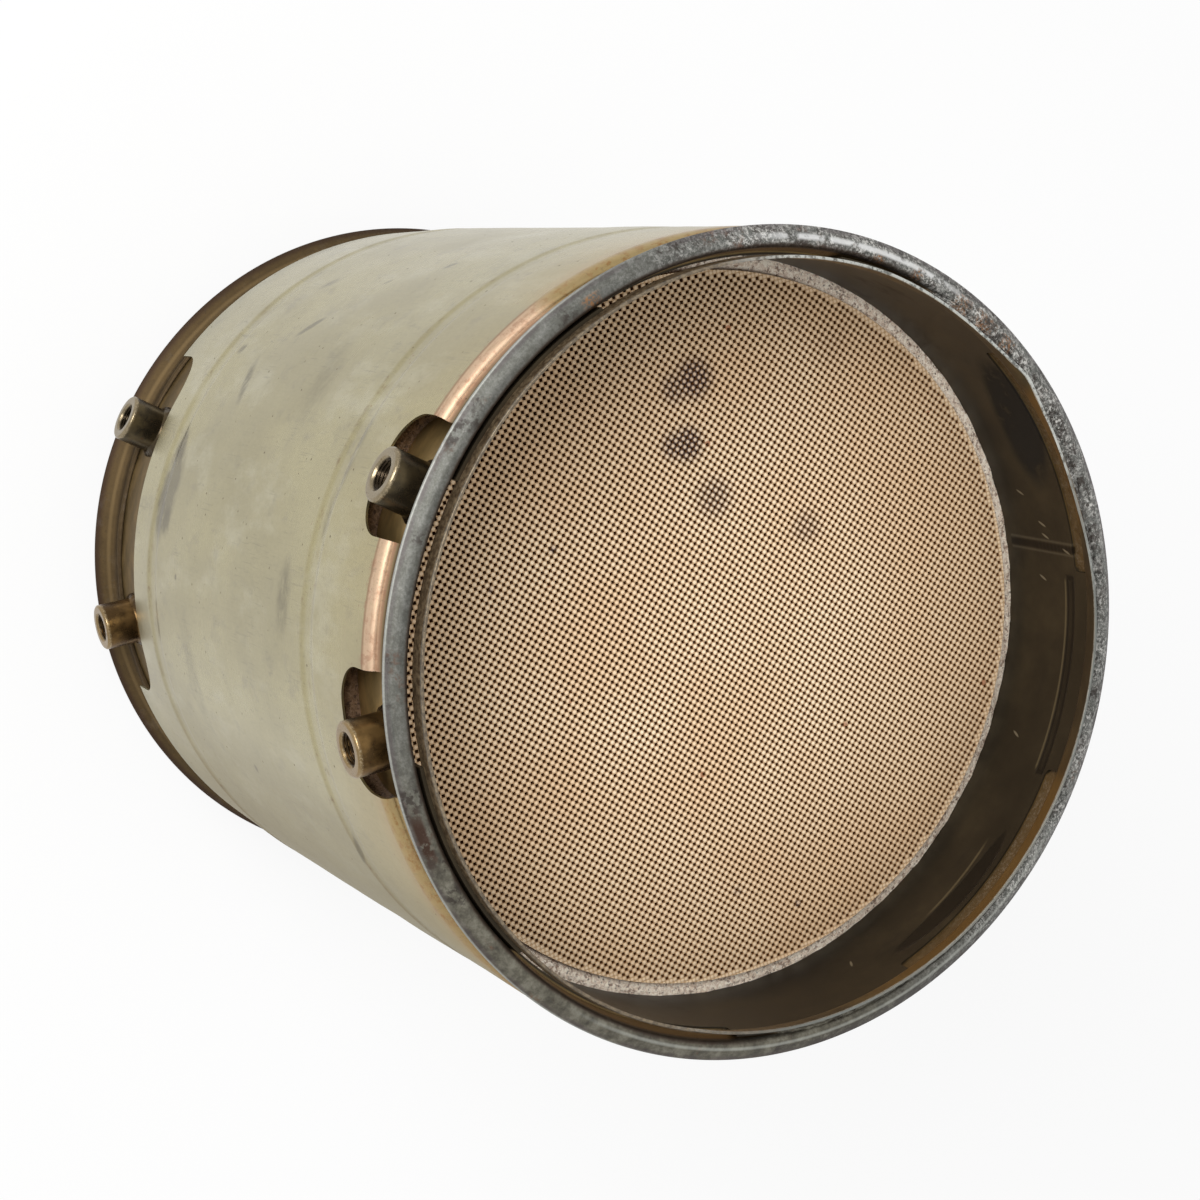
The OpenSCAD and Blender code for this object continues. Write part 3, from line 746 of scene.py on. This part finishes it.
def fibre_finish(name, pale, warm, dark, seed):
    """Pressed fibre: pale strands and crumbs over a warm ground with dark flecks and a loose, uneven surface, and
    painted shade along the inner edge next to the brick.
    """
    f = Finish(name, Roughness=0.95, Specular_IOR_Level=0.15, Sheen_Weight=0.1)
    clump = f.noise(7, 5, 0.65, seed=seed)
    strand = f.noise(1.1, 4, 0.8, (2.2, 2.2, 1), seed + 2, 1.5)
    crumb = f.noise(2.4, 5, 0.75, seed=seed + 7)
    fleck = f.cells(2.2, seed).step(0.26, 0.12) * f.noise(6, 3, 0.6, seed=seed + 4).step(0.42, 0.56)
    f.base = f.mix(strand.step(0.42, 0.56), warm, pale)
    f.lay(crumb.step(0.49, 0.40) * 0.85, dark)
    f.lay(clump.step(0.5, 0.7) * 0.35, pale)
    # Painted shade along the inner edge, in the gap next to the brick.
    f.lay(f.radius.step(BRICK_R + 1.5, BRICK_R + 0.3) * (0.35 + 0.7 * crumb), dark)
    f.lay(fleck * 0.8, 76, 56, 46)
    return f.done(None, None, clump * 0.6 + strand * 0.3 + crumb * 0.3 - fleck * 0.25, 0.9)


def boss_finish(name, dark, warm, face, seed):
    """Turned boss steel: smooth scorched body, faint oxide blotches, brighter turned face and worn chamfer, and
    painted shade in the bore.
    """
    f = Finish(name, Metallic=0.9)
    cloud = f.noise(9, 4, 0.55, seed=seed)
    fine = f.noise(0.8, 4, 0.7, seed=seed + 1)
    f.base = f.mix(cloud.step(0.4, 0.66), dark, warm)
    out = f.radius.step(178.6, 179.8)
    f.lay((out * (0.3 + 0.9 * fine)).clip(), face)
    f.lay(f.radius.band(178.9, 180.1, 0.4) * fine.step(0.46, 0.6) * 0.5, 196, 178, 146)
    foot = f.radius.step(166.0, 163.0)
    f.lay(foot * (0.35 + 0.5 * cloud), 54, 42, 28)
    rust = f.noise(3.4, 4, 0.7, seed=seed + 5).step(0.6, 0.72)
    f.lay(rust * 0.5, 96, 60, 34)
    # Painted shade: the threaded bore is painted dark.
    aside = (abs(f.turn) - BOSS_TURN / DEG) * DEG * f.radius
    along = abs(f.level - BOSS_LEVELS[0]).least(abs(f.level - BOSS_LEVELS[1]))
    bore = (aside * aside + along * along).math("SQRT").step(7.1, 6.6)
    f.lay(bore * 0.85, 44, 34, 24)
    return f.done((0.2 + 0.16 * cloud + 0.2 * rust).clip(), None, cloud * 0.05 + fine * 0.02, 0.6)


# ---------------------------------------------------------------- settings

def colour_prop(name, text, *rgb):
    return FloatVectorProperty(name=name, description=text, subtype="COLOR", size=3, min=0, max=1,
            default=tone(*rgb)[:3])


def size_prop(name, text, value, digits=3):
    return FloatProperty(name=name, description=text, default=value, unit="LENGTH", precision=digits)


class FilterSizes(bpy.types.PropertyGroup):
    """Sizes that the frame's solids leave to the finished surfaces."""
    cell_pitch: size_prop("Channel pitch", "Distance between two channels of the honeycomb", 0.001796, 5)
    cell_hole: size_prop("Channel opening", "Side of an open channel", 0.00147, 5)
    cell_depth: size_prop("Visible channel depth", "How far an open channel is modelled", 0.012)
    cell_turn: FloatProperty(name="Grid turn", description="Turn of the channel grid about the axis, in degrees", default=20.35)
    sheet_wave: size_prop("Sheet unevenness", "Height of the soft waves in the rolled shield", 0.00022, 5)
    ring_dent: size_prop("Ring dent", "How far the dented edge of the pilot ring is bent in", 0.0022, 4)
    thread_pitch: size_prop("Thread pitch", "Pitch of the thread in the bosses", 0.0015, 4)
    thread_depth: size_prop("Thread depth", "Depth of the thread in the bosses", 0.0008, 4)
    round_steps: IntProperty(name="Steps round the axis", description="Pieces into which a turned form is divided", default=240, min=96, max=480)


class FilterFinishes(bpy.types.PropertyGroup):
    """Main colours of the finishes."""
    shield_colour: colour_prop("Shield", "Tarnished sheet of the heat shield", 169, 160, 123)
    flange_colour: colour_prop("Flanges", "Weathered steel of the clamp flanges", 90, 91, 86)
    can_colour: colour_prop("Can", "Scorched steel of the can", 57, 50, 38)
    ceramic_colour: colour_prop("Honeycomb", "Plugs of the ceramic brick", 252, 231, 199)
    mat_colour: colour_prop("Mat", "Fibre mat round the brick", 255, 244, 226)


# ---------------------------------------------------------------- pieces

def brick_face(radius, level, depth, pitch, hole, turn, parity, up):
    """One end of the honeycomb. The corners of the square grid that lie past the radius are pulled onto it.
    A closed channel is one quad. An open one is a frame of four quads round its hole, four walls and a floor."""
    k = int(math.ceil(radius / pitch)) + 1
    line = (np.arange(-k, k + 2) - 0.5) * pitch
    c, s = math.cos(turn), math.sin(turn)
    U, V = np.meshgrid(line, line, indexing="ij")
    X, Y = U * c - V * s, U * s + V * c
    shrink = np.minimum(1, radius / np.maximum(np.hypot(X, Y), 1e-6))
    corners = np.stack([X * shrink, Y * shrink, np.full_like(X, level)], -1).reshape(-1, 3)
    size = len(line)
    I, J = [a.ravel() for a in np.meshgrid(np.arange(size - 1), np.arange(size - 1), indexing="ij")]
    quad = np.stack([I * size + J, (I + 1) * size + J, (I + 1) * size + J + 1, I * size + J + 1], 1)
    held = (shrink.ravel()[quad] == 1).sum(1) > 0
    quad, I, J = quad[held], I[held], J[held]
    uc, vc = (line[I] + line[I + 1]) / 2, (line[J] + line[J + 1]) / 2
    whole = np.hypot(uc, vc) < radius - 0.72 * pitch
    is_open = whole & ((I + J) % 2 == parity)
    uc, vc = uc[is_open], vc[is_open]
    du = np.array([-1, 1, 1, -1]) * hole / 2
    dv = np.array([-1, -1, 1, 1]) * hole / 2
    hu, hv = uc[:, None] + du, vc[:, None] + dv
    hx, hy = hu * c - hv * s, hu * s + hv * c
    sign = 1 if up else -1
    mouth = np.stack([hx, hy, np.full_like(hx, level)], -1).reshape(-1, 3)
    floor = np.stack([hx, hy, np.full_like(hx, level - sign * depth)], -1).reshape(-1, 3)
    a = quad[is_open]
    b = len(corners) + np.arange(len(mouth)).reshape(-1, 4)
    d = b + len(mouth)
    faces = [quad[~is_open], d]
    for e in range(4):
        g = (e + 1) % 4
        faces.append(np.stack([a[:, e], a[:, g], b[:, g], b[:, e]], 1))
        faces.append(np.stack([b[:, e], b[:, g], d[:, g], d[:, e]], 1))
    faces = np.concatenate(faces)
    return np.concatenate([corners, mouth, floor]), faces if up else faces[:, ::-1]


class FILTER_OT_brick(bpy.types.Operator):
    """Add the honeycomb brick with its true channel pitch"""
    bl_idname, bl_label = "particulate_filter.brick", "Filter Brick"

    def execute(self, context):
        s, p = context.scene.filter_sizes, context.scene.filter_finishes
        finish = ceramic_finish(s, p)
        for name, level, parity, up in (("outlet", BRICK_TOP, 0, True), ("inlet", BRICK_LOW, 1, False)):
            points, faces = brick_face(BRICK_R - 0.3, level, s.cell_depth * 1000, s.cell_pitch * 1000,
                                       s.cell_hole * 1000, math.radians(s.cell_turn), parity, up)
            left = points[faces].mean(1)[:, 0] < 0
            for part, pick in (("a", left), ("b", ~left)):
                add_piece(f"brick_{name}_face_{part}", points, faces[pick], finish, "ceramic", "substrate",
                        sharp=40)
        lip = 0.5
        line = eased_line([(BRICK_R - lip, BRICK_LOW - 0.05, 0.1), (BRICK_R, BRICK_LOW - 0.05, 0.3),
                (BRICK_R, BRICK_TOP + 0.05, 0.3),
                           (BRICK_R - lip, BRICK_TOP + 0.05, 0.1), (BRICK_R - lip, BRICK_TOP - 12, 0.1),
                           (BRICK_R - lip, BRICK_LOW + 12, 0.1)])
        points, faces = turned(split_long(line, 30), s.round_steps)
        add_piece("brick_skin", points, faces, finish, "ceramic", "substrate")
        return {"FINISHED"}


class FILTER_OT_mat(bpy.types.Operator):
    """Add the fibre mat round the brick, with its uneven ends"""
    bl_idname, bl_label = "particulate_filter.mat", "Support Mat"

    def execute(self, context):
        p = context.scene.filter_finishes
        steps = 9
        across = np.linspace(BRICK_R + 0.02, MAT_R - 0.02, steps)
        top = np.stack([across[::-1], np.full(steps, MAT_TOP)], 1)
        low = np.stack([across, np.full(steps, MAT_LOW)], 1)
        side_out = np.stack([np.full(7, across[-1]), np.linspace(MAT_LOW, MAT_TOP, 9)[1:-1]], 1)
        side_in = np.stack([np.full(7, across[0]), np.linspace(MAT_TOP, MAT_LOW, 9)[1:-1]], 1)
        line = np.concatenate([low, side_out, top, side_in])

        def uneven(turn, index, radius, level):
            """The ends rise and fall with seven sine waves, most in the middle of the mat's thickness."""
            end = (level > MAT_TOP - 1) * 1.0 - (level < MAT_LOW + 1) * 1.0
            mid = np.sin(math.pi * (radius - BRICK_R) / (MAT_R - BRICK_R))
            wave = sum(np.sin(k * turn + 1.7 * k) * a for k,
                    a in ((9, 0.22), (17, 0.2), (41, 0.2), (83, 0.18), (131, 0.12)))
            wave = wave + np.sin(47 * turn + radius * 2.1) * 0.15
            return radius, level + end * (-0.9 + 0.75 * mid + wave * 0.7)

        points, faces = turned(line, 720, uneven)
        finish = fibre_finish("support mat fibre", (*p.mat_colour, 1.0), tone(224, 202, 180),
                tone(138, 110, 92), 3.0)
        add_piece("mat_ring", points, faces, finish, "mat", "support_mat")
        return {"FINISHED"}


class FILTER_OT_can(bpy.types.Operator):
    """Add the can with its slotted outlet end, boss bores and weld seam"""
    bl_idname, bl_label = "particulate_filter.can", "Can"

    def execute(self, context):
        p = context.scene.filter_finishes
        turns = spaced((-28 * DEG, 28 * DEG, 0.5 * DEG), (28 * DEG, 332 * DEG, 1.25 * DEG))[:-1]
        levels = spaced((CAN_LOW, 17.5, 5), (17.5, 20, 1.25), (20, 24, 2), (24, 44, 0.9), (44, 362, 12),
                (362, 384, 0.9), (384, CAN_TOP, 0.7))

        def cut(turn, level):
            found = np.full(np.broadcast(turn, level).shape, 99.0)
            for k in range(5):
                t = wrapped(turn - k * 72 * DEG)
                found = np.minimum(found, rounded_box(CAN_R * t, level, CAN_R * 20 * DEG, RIM_Z - 7.8, CAN_TOP
                        + 30, 2.2))
            for z in BOSS_LEVELS:
                for side in (-1, 1):
                    t = wrapped(turn - side * BOSS_TURN)
                    found = np.minimum(found, np.hypot(CAN_R * t, level - z) - 6.2)
            return found

        def inner(turn, level):
            """Bore radius less the weld seam, a bead of Gaussian section with ripples along it."""
            arc = CAN_R * wrapped(turn - SEAM_DEGREES * DEG)
            seam = 0.4 * np.exp(-(arc / 1.2) ** 2) * (1 + 0.25 * np.sin(level * 2.4)) * (level < RIM_Z - 2.6)
            return CAN_R - CAN_WALL + mouth(level) - seam

        def mouth(level):
            """The inlet mouth is wider by a set amount, which runs out in a straight taper."""
            return MOUTH_GAIN * np.clip((20 - level) / 2.5, 0, 1)

        points, faces = rolled_wall(turns, levels, lambda t, z: CAN_R + mouth(z) + 0 * t, inner, cut)
        add_piece("can_tube", points, faces, can_finish(p), "can_steel", "can_shell")
        return {"FINISHED"}


class FILTER_OT_ring(bpy.types.Operator):
    """Add the pilot ring with its dented, heat tinted edge"""
    bl_idname, bl_label = "particulate_filter.ring", "Pilot Ring"

    def execute(self, context):
        s, p = context.scene.filter_sizes, context.scene.filter_finishes
        dent = s.ring_dent * 1000
        line = eased_line([(RING_R - CAN_WALL, RING_LOW + 2.8, 1.0), (RING_R - 0.3, RING_LOW + 1.5, 0.2),
                (RING_R, RING_LOW + 1.5, 0.2), (RING_R, RING_TOP - 2.4, 1.0), (RING_R - 0.35, RING_TOP, 0.3),
                (RING_R - CAN_WALL, RING_TOP, 0.3)], 4)

        def bent(turn, index, radius, level):
            """The free edge above the tabs leans by the amounts given every few degrees: it is pulled in on
            both sides of a corner at 231 degrees. The lean grows with the square of the height."""
            lean = np.interp(turn / DEG, *zip(*RING_LEAN))
            up = np.clip((level - CAN_TOP) / (RING_TOP - CAN_TOP), 0, 1) ** 1.5
            wave = 0.1 * np.sin(7 * turn + 1) + 0.08 * np.sin(16 * turn) - 0.2
            return (radius + up * (dent * lean - 0.15 * np.abs(np.sin(3 * turn))), level + up
                    * (wave - 0.3 * np.abs(lean)))

        points, faces = turned(split_long(line, 1.6), 480, bent)
        add_piece("pilot_ring", points, faces, ring_finish(p), "ring_steel", "outlet_pilot_ring")
        return {"FINISHED"}


def weld_ring(radius, level, up, seed, beads):
    """A weld in the corner between can and hub: a quarter-round bead whose size ripples round the axis."""
    angles = np.linspace(0, math.pi / 2, 7)
    line = np.concatenate([[[radius - 0.3, level - up * 0.3]],
            np.stack([radius + 1.7 * np.cos(angles), level + up * 1.9 * np.sin(angles)], 1)])
    if up < 0:
        line = line[::-1]

    def rippled(turn, index, r, z):
        size = 1 + beads * np.sin(210 * turn + 2.0 * np.sin(19 * turn + seed)) + 0.12 * np.sin(23 * turn + seed)
        return radius + (r - radius) * size, level + (z - level) * size

    return turned(line, 960, rippled)


def caked(turn, index, radius, level):
    """Scale in the gap between ring and lip: it stands high on the far side, where it is lumpy by sine waves
    with phases that grow along the section, and shrinks into the flange's foot on the boss side."""
    full = ease(turn / DEG, 88, 104) * (1 - ease(turn / DEG, 246, 262))
    lump = (np.sin(61 * turn + index) + np.sin(97 * turn + 2.3 * index) + np.sin(151 * turn - 1.1 * index)
            + np.sin(233 * turn + 0.7 * index))
    high = (level > RIM_Z + 1.5) * 1.0
    radius, level = radius - 0.12 * high * np.abs(lump), level + high * (0.16 * lump - 0.5)
    size = 0.04 + 0.96 * full
    return CAN_R + 0.8 + (radius - CAN_R - 0.8) * size, RIM_Z - 8.2 + (level - RIM_Z + 8.2) * size


class FILTER_OT_flanges(bpy.types.Operator):
    """Add both clamp flanges and the welds that hold them on the can"""
    bl_idname, bl_label = "particulate_filter.flanges", "Clamp Flanges"

    def execute(self, context):
        s, p = context.scene.filter_sizes, context.scene.filter_finishes
        hub = CAN_R + 1.9
        for name, up, rim, length in (("outlet", 1, RIM_Z, 0.0),
                ("inlet", -1, INLET_RIM_Z, INLET_HUB_TOP - INLET_RIM_Z - FLANGE_RISE)):
            finish = flange_finish(p, f"weathered {name} flange steel", up < 0)
            seat = CAN_R if up > 0 else MOUTH_R
            foot = [(seat, -FLANGE_RISE - length, 0.1), (hub, -FLANGE_RISE - length, 0.4)]
            if length > 0:
                foot.append((hub, -FLANGE_RISE, 1.2))
            line = eased_line(foot + [(RIM_R, -1.1, 0.5), (RIM_R, 0, 0.5), (RIM_R - 5, LIP_RISE, 1.3),
                    (RIM_R - 8.9, LIP_RISE, 1.9), (seat, -7.4, 0.2)], 5)
            line[:, 1] = rim + up * line[:, 1]
            if up < 0:
                line = line[::-1]
            points, faces = turned(split_long(line, 2.2), s.round_steps * 2)
            add_piece(f"{name}_flange", points, faces, finish, "flange_steel", f"{name}_clamp_flange", sharp=28)
            if up > 0:
                points, faces = turned(eased_line([(RING_R + 0.2, rim + 0.4, 0.1), (seat + 1.9, rim + 0.4, 0.1),
                        (seat + 2.6, rim + 2.6, 0.6), (seat + 0.6, rim + 3.2, 0.6),
                        (RING_R + 0.2, rim + 2.8, 0.4)], 4), 960, caked)
                add_piece("outlet_gap_scale", points, faces, finish, "flange_steel", "outlet_clamp_flange",
                        sharp=50)
            points, faces = weld_ring(seat, rim - up * (FLANGE_RISE + length), -up, 2.0
                    + up, 0.1 if up > 0 else 0.03)
            add_piece(f"{name}_flange_weld", points, faces, finish, "flange_steel", f"{name}_clamp_flange",
                    sharp=60)
        return {"FINISHED"}


class FILTER_OT_blanket(bpy.types.Operator):
    """Add the fibre insulation that shows at the cut edges of the shield"""
    bl_idname, bl_label = "particulate_filter.blanket", "Insulation"

    def execute(self, context):
        turns = spaced((-38 * DEG, 36 * DEG, 0.5 * DEG), (36 * DEG, 322 * DEG, 3 * DEG))[:-1]
        levels = spaced((BLANKET_LOW, 110, 1.6), (110, 335, 25), (335, BLANKET_TOP, 1.5))

        def fringe(turn, level, share):
            """Half a sine across the thickness, roughened along the edge."""
            rough = (np.sin(97 * turn + 0.9 * level) + np.sin(61 * turn - 1.3 * level + 9 * share)
                    + np.sin(1.9 * level + 7 * share))
            return (0.9 + 0.28 * rough) * math.sin(math.pi * share)

        points, faces = rolled_wall(turns, levels, lambda t, z: shield_radius(z) - SHEET - 0.6 + 0
                * t, lambda t, z: CAN_R + 0.05 + 0 * t * z,
                                    lambda t, z: boss_cuts(t, z, 6.5), [k / 8 for k in range(1, 8)], fringe)
        finish = fibre_finish("insulation fibre", tone(122, 100, 80), tone(94, 74, 54), tone(50, 38, 28), 8.0)
        add_piece("insulation_wrap", points, faces, finish, "blanket", "insulation_blanket", sharp=50)
        return {"FINISHED"}


class FILTER_OT_shield(bpy.types.Operator):
    """Add the rolled heat shield with its shoulder, grooves, notches and recess"""
    bl_idname, bl_label = "particulate_filter.shield", "Heat Shield"

    def execute(self, context):
        s, p = context.scene.filter_sizes, context.scene.filter_finishes
        wave = s.sheet_wave * 1000
        turns = spaced((-36 * DEG, 34 * DEG, 0.45 * DEG), (34 * DEG, 324 * DEG, 1.7 * DEG))[:-1]
        shoulder = RIM_Z - 24 + 6.5 * np.sin(np.linspace(0, math.pi / 2, 9))
        levels = np.concatenate([
            spaced((SHIELD_LOW, 104, 1.7), (104, 111, 1.2), (111, RIM_Z - 92, 9), (RIM_Z - 92, RIM_Z - 75, 1.2),
            (RIM_Z - 75, RIM_Z - 50, 4), (RIM_Z - 50, RIM_Z - 24.3, 1.3)),
            shoulder, spaced((RIM_Z - 16.5, SHIELD_TOP, 1.2))])

        def outer(turn, level):
            """Profile radius less waves that fade out towards both ends; the edge itself curls in slightly."""
            fade = ease(level, SHIELD_LOW, SHIELD_LOW + 20) * (1 - ease(level, RIM_Z - 60, RIM_Z - 20)) + 0.35
            return shield_radius(level) - wave * 1.6 - ripple(turn, level, 5, wave) * fade

        points, faces = rolled_wall(turns, levels, outer, lambda t, z: outer(t, z) - SHEET, lambda t,
                z: boss_cuts(t, z, 0.0))
        add_piece("shield_wrap", points, faces, shield_finish(p), "shield_steel", "heat_shield", sharp=38)
        return {"FINISHED"}


def boss_surface(side, level, top, pitch, depth):
    """A boss turned about the radial line at its angle. Its closed section (radius, height above the can) is
    carried round that line; near the can every height drops by the can's own curve, R - sqrt(R^2 - y^2).
    In the bore the radius swings by a triangle wave of height/pitch - angle/(2 pi), which is the thread.
    The foot is a weld bead whose width ripples round the boss."""
    r, bore, count = 11.5, 6.2, 96
    outer = eased_line([(bore, -0.02, 0.05), (r + 2.1, -0.02, 0.1), (r + 1.9, 1.3, 1.0), (r, 2.9, 0.9),
            (r, top - 0.8, 0.3), (r - 0.8, top, 0.3),
                        (bore + 1.3, top, 0.3), (bore + 0.35, top - 1.3, 0.1)], 4)
    cut = np.nonzero(outer[:, 1] > top - 1.6)[0].max() + 1
    outer = outer[:cut]
    thread = np.stack([np.full(84, bore), np.linspace(top - 1.35, 0.1, 84)], 1)
    start = np.array([[bore, -0.02]])
    line = np.concatenate([start, outer[outer[:, 0] > bore + 0.2], thread])
    angle = np.arange(count) * 2 * math.pi / count
    A, K = np.meshgrid(angle, np.arange(len(line)), indexing="ij")
    radius, height = line[K, 0], line[K, 1]
    in_bore = (radius < bore + 0.1) & (height > 0.05)
    phase = (height / pitch - A / (2 * math.pi)) % 1
    radius = radius + in_bore * depth * (np.abs(phase - 0.5) * 2) * ease(top - 1.2 - height, -0.2, 0.5)
    bead = (radius > r + 0.3) & (height < 4)
    radius = (radius + bead * (0.22 * np.sin(23 * A + side) + 0.16 * np.sin(9 * A + 2 * side))
            * ease(radius, r, r + 1.5))
    aside = radius * np.sin(A)
    drop = (CAN_R - np.sqrt(CAN_R ** 2 - aside ** 2)) * (1 - ease(height, 3.0, 7.0))
    out, up = CAN_R + height - drop, level + radius * np.cos(A)
    turn = side * BOSS_TURN
    points = np.stack([out * math.sin(turn) + aside * math.cos(turn), -out * math.cos(turn) + aside
            * math.sin(turn), up], -1)
    return points.reshape(-1, 3), closed_grid(*A.shape)


class FILTER_OT_bosses(bpy.types.Operator):
    """Add the four threaded sensor bosses with their weld beads"""
    bl_idname, bl_label = "particulate_filter.bosses", "Sensor Bosses"

    def execute(self, context):
        s = context.scene.filter_sizes
        dark = boss_finish("scorched boss steel", tone(70, 62, 48), tone(98, 86, 62), tone(152, 138, 112), 5.0)
        warm = boss_finish("straw tinted boss steel", tone(82, 62, 36), tone(128, 100, 60), tone(150, 128, 92),
                12.0)
        for end, level, finishes in (("inlet", BOSS_LEVELS[0], (dark, warm)),
                ("outlet", BOSS_LEVELS[1], (dark, warm))):
            for number, side in ((1, -1), (2, 1)):
                points, faces = boss_surface(side, level, BOSS_HEIGHT, s.thread_pitch * 1000, s.thread_depth
                        * 1000)
                add_piece(f"{end}_boss_{number}", points, faces, finishes[number - 1], "boss_steel",
                        f"{end}_sensor_boss_{number}", sharp=40)
        return {"FINISHED"}


class FILTER_OT_stage(bpy.types.Operator):
    """Add the pale floor, soft light and the camera"""
    bl_idname, bl_label = "particulate_filter.stage", "Floor, Light and Camera"

    def execute(self, context):
        scene = context.scene
        floor = bpy.data.meshes.new("floor")
        floor.from_pydata([(-6, -6, 0), (6, -6, 0), (6, 6, 0), (-6, 6, 0)], [], [(0, 1, 2, 3)])
        plane = bpy.data.objects.new("floor", floor)
        scene.collection.objects.link(plane)
        floor.materials.append(bpy.data.materials.new("pale floor"))
        nodes = Nodes(floor.materials[0])
        diffuse = nodes.add("ShaderNodeBsdfDiffuse", {}, {"Color": (0.86, 0.86, 0.86, 1)})
        glow = nodes.add("ShaderNodeEmission", {}, {})
        blend = nodes.add("ShaderNodeMixShader", {}, {0: nodes.seen_rays() * 0.86, 1: diffuse, 2: glow})
        nodes.add("ShaderNodeOutputMaterial", {}, {0: blend})

        scene.world = bpy.data.worlds.new("soft white room")
        nodes = Nodes(scene.world)
        strength = nodes.seen_rays().math("MULTIPLY_ADD", 0.4, 0.6)
        nodes.add("ShaderNodeOutputWorld", {}, {0: nodes.add("ShaderNodeBackground", {}, {"Strength": strength})})

        right = Vector((-0.126622, 0.879972, 0.457838))
        up = Vector((-0.988801, -0.075216, -0.1289))
        back = Vector((-0.078992, -0.469032, 0.879641))
        camera = bpy.data.cameras.new("camera")
        camera.lens, camera.sensor_width = 73.65669, 36.0
        camera.clip_start, camera.clip_end = 0.05, 50
        eye = bpy.data.objects.new("camera", camera)
        scene.collection.objects.link(eye)
        eye.matrix_world = Matrix(((right.x, up.x, back.x, -0.09040537), (right.y, up.y, back.y, -0.53426744),
                                   (right.z, up.z, back.z, 1.24187583), (0, 0, 0, 1)))
        scene.camera = eye
        middle = (CAD_BOX[0] + CAD_BOX[1]) / 2
        for name, a, b, c, size, watts in (("key lamp", -0.5, 0.6, 1.9, 1.2, 34),
                ("fill lamp", 1.1, -0.5, 1.6, 1.2, 10)):
            lamp = bpy.data.lights.new(name, "AREA")
            lamp.size, lamp.energy = size, watts
            holder = bpy.data.objects.new(name, lamp)
            scene.collection.objects.link(holder)
            holder.visible_glossy = name == "key lamp"
            place = middle + right * a + up * b + back * c
            holder.location = place
            holder.rotation_mode = "QUATERNION"
            holder.rotation_quaternion = (middle - place).to_track_quat("-Z", "Y")
        scene.view_settings.view_transform = "Standard"
        return {"FINISHED"}


STEPS = (FILTER_OT_brick, FILTER_OT_mat, FILTER_OT_can, FILTER_OT_ring, FILTER_OT_flanges, FILTER_OT_blanket,
         FILTER_OT_shield, FILTER_OT_bosses, FILTER_OT_stage)


class FILTER_PT_pieces(bpy.types.Panel):
    """Lists the sizes, the finishes and the operators in the sidebar"""
    bl_label, bl_idname = "Particulate Filter", "FILTER_PT_pieces"
    bl_space_type, bl_region_type, bl_category = "VIEW_3D", "UI", "Filter"

    def draw(self, context):
        for group in (context.scene.filter_sizes, context.scene.filter_finishes):
            box = self.layout.box()
            for key in group.__annotations__:
                box.prop(group, key)
        for step in STEPS:
            self.layout.operator(step.bl_idname)


CLASSES = (FilterSizes, FilterFinishes, *STEPS, FILTER_PT_pieces)


def register():
    for cls in CLASSES:
        bpy.utils.register_class(cls)
    bpy.types.Scene.filter_sizes = PointerProperty(type=FilterSizes)
    bpy.types.Scene.filter_finishes = PointerProperty(type=FilterFinishes)


def unregister():
    del bpy.types.Scene.filter_sizes, bpy.types.Scene.filter_finishes
    for cls in reversed(CLASSES):
        bpy.utils.unregister_class(cls)


def main():
    """Makes every piece in order."""
    register()
    for step in STEPS:
        group, name = step.bl_idname.split(".")
        getattr(getattr(bpy.ops, group), name)()
    bpy.context.view_layer.update()


if __name__ == "__main__":
    main()
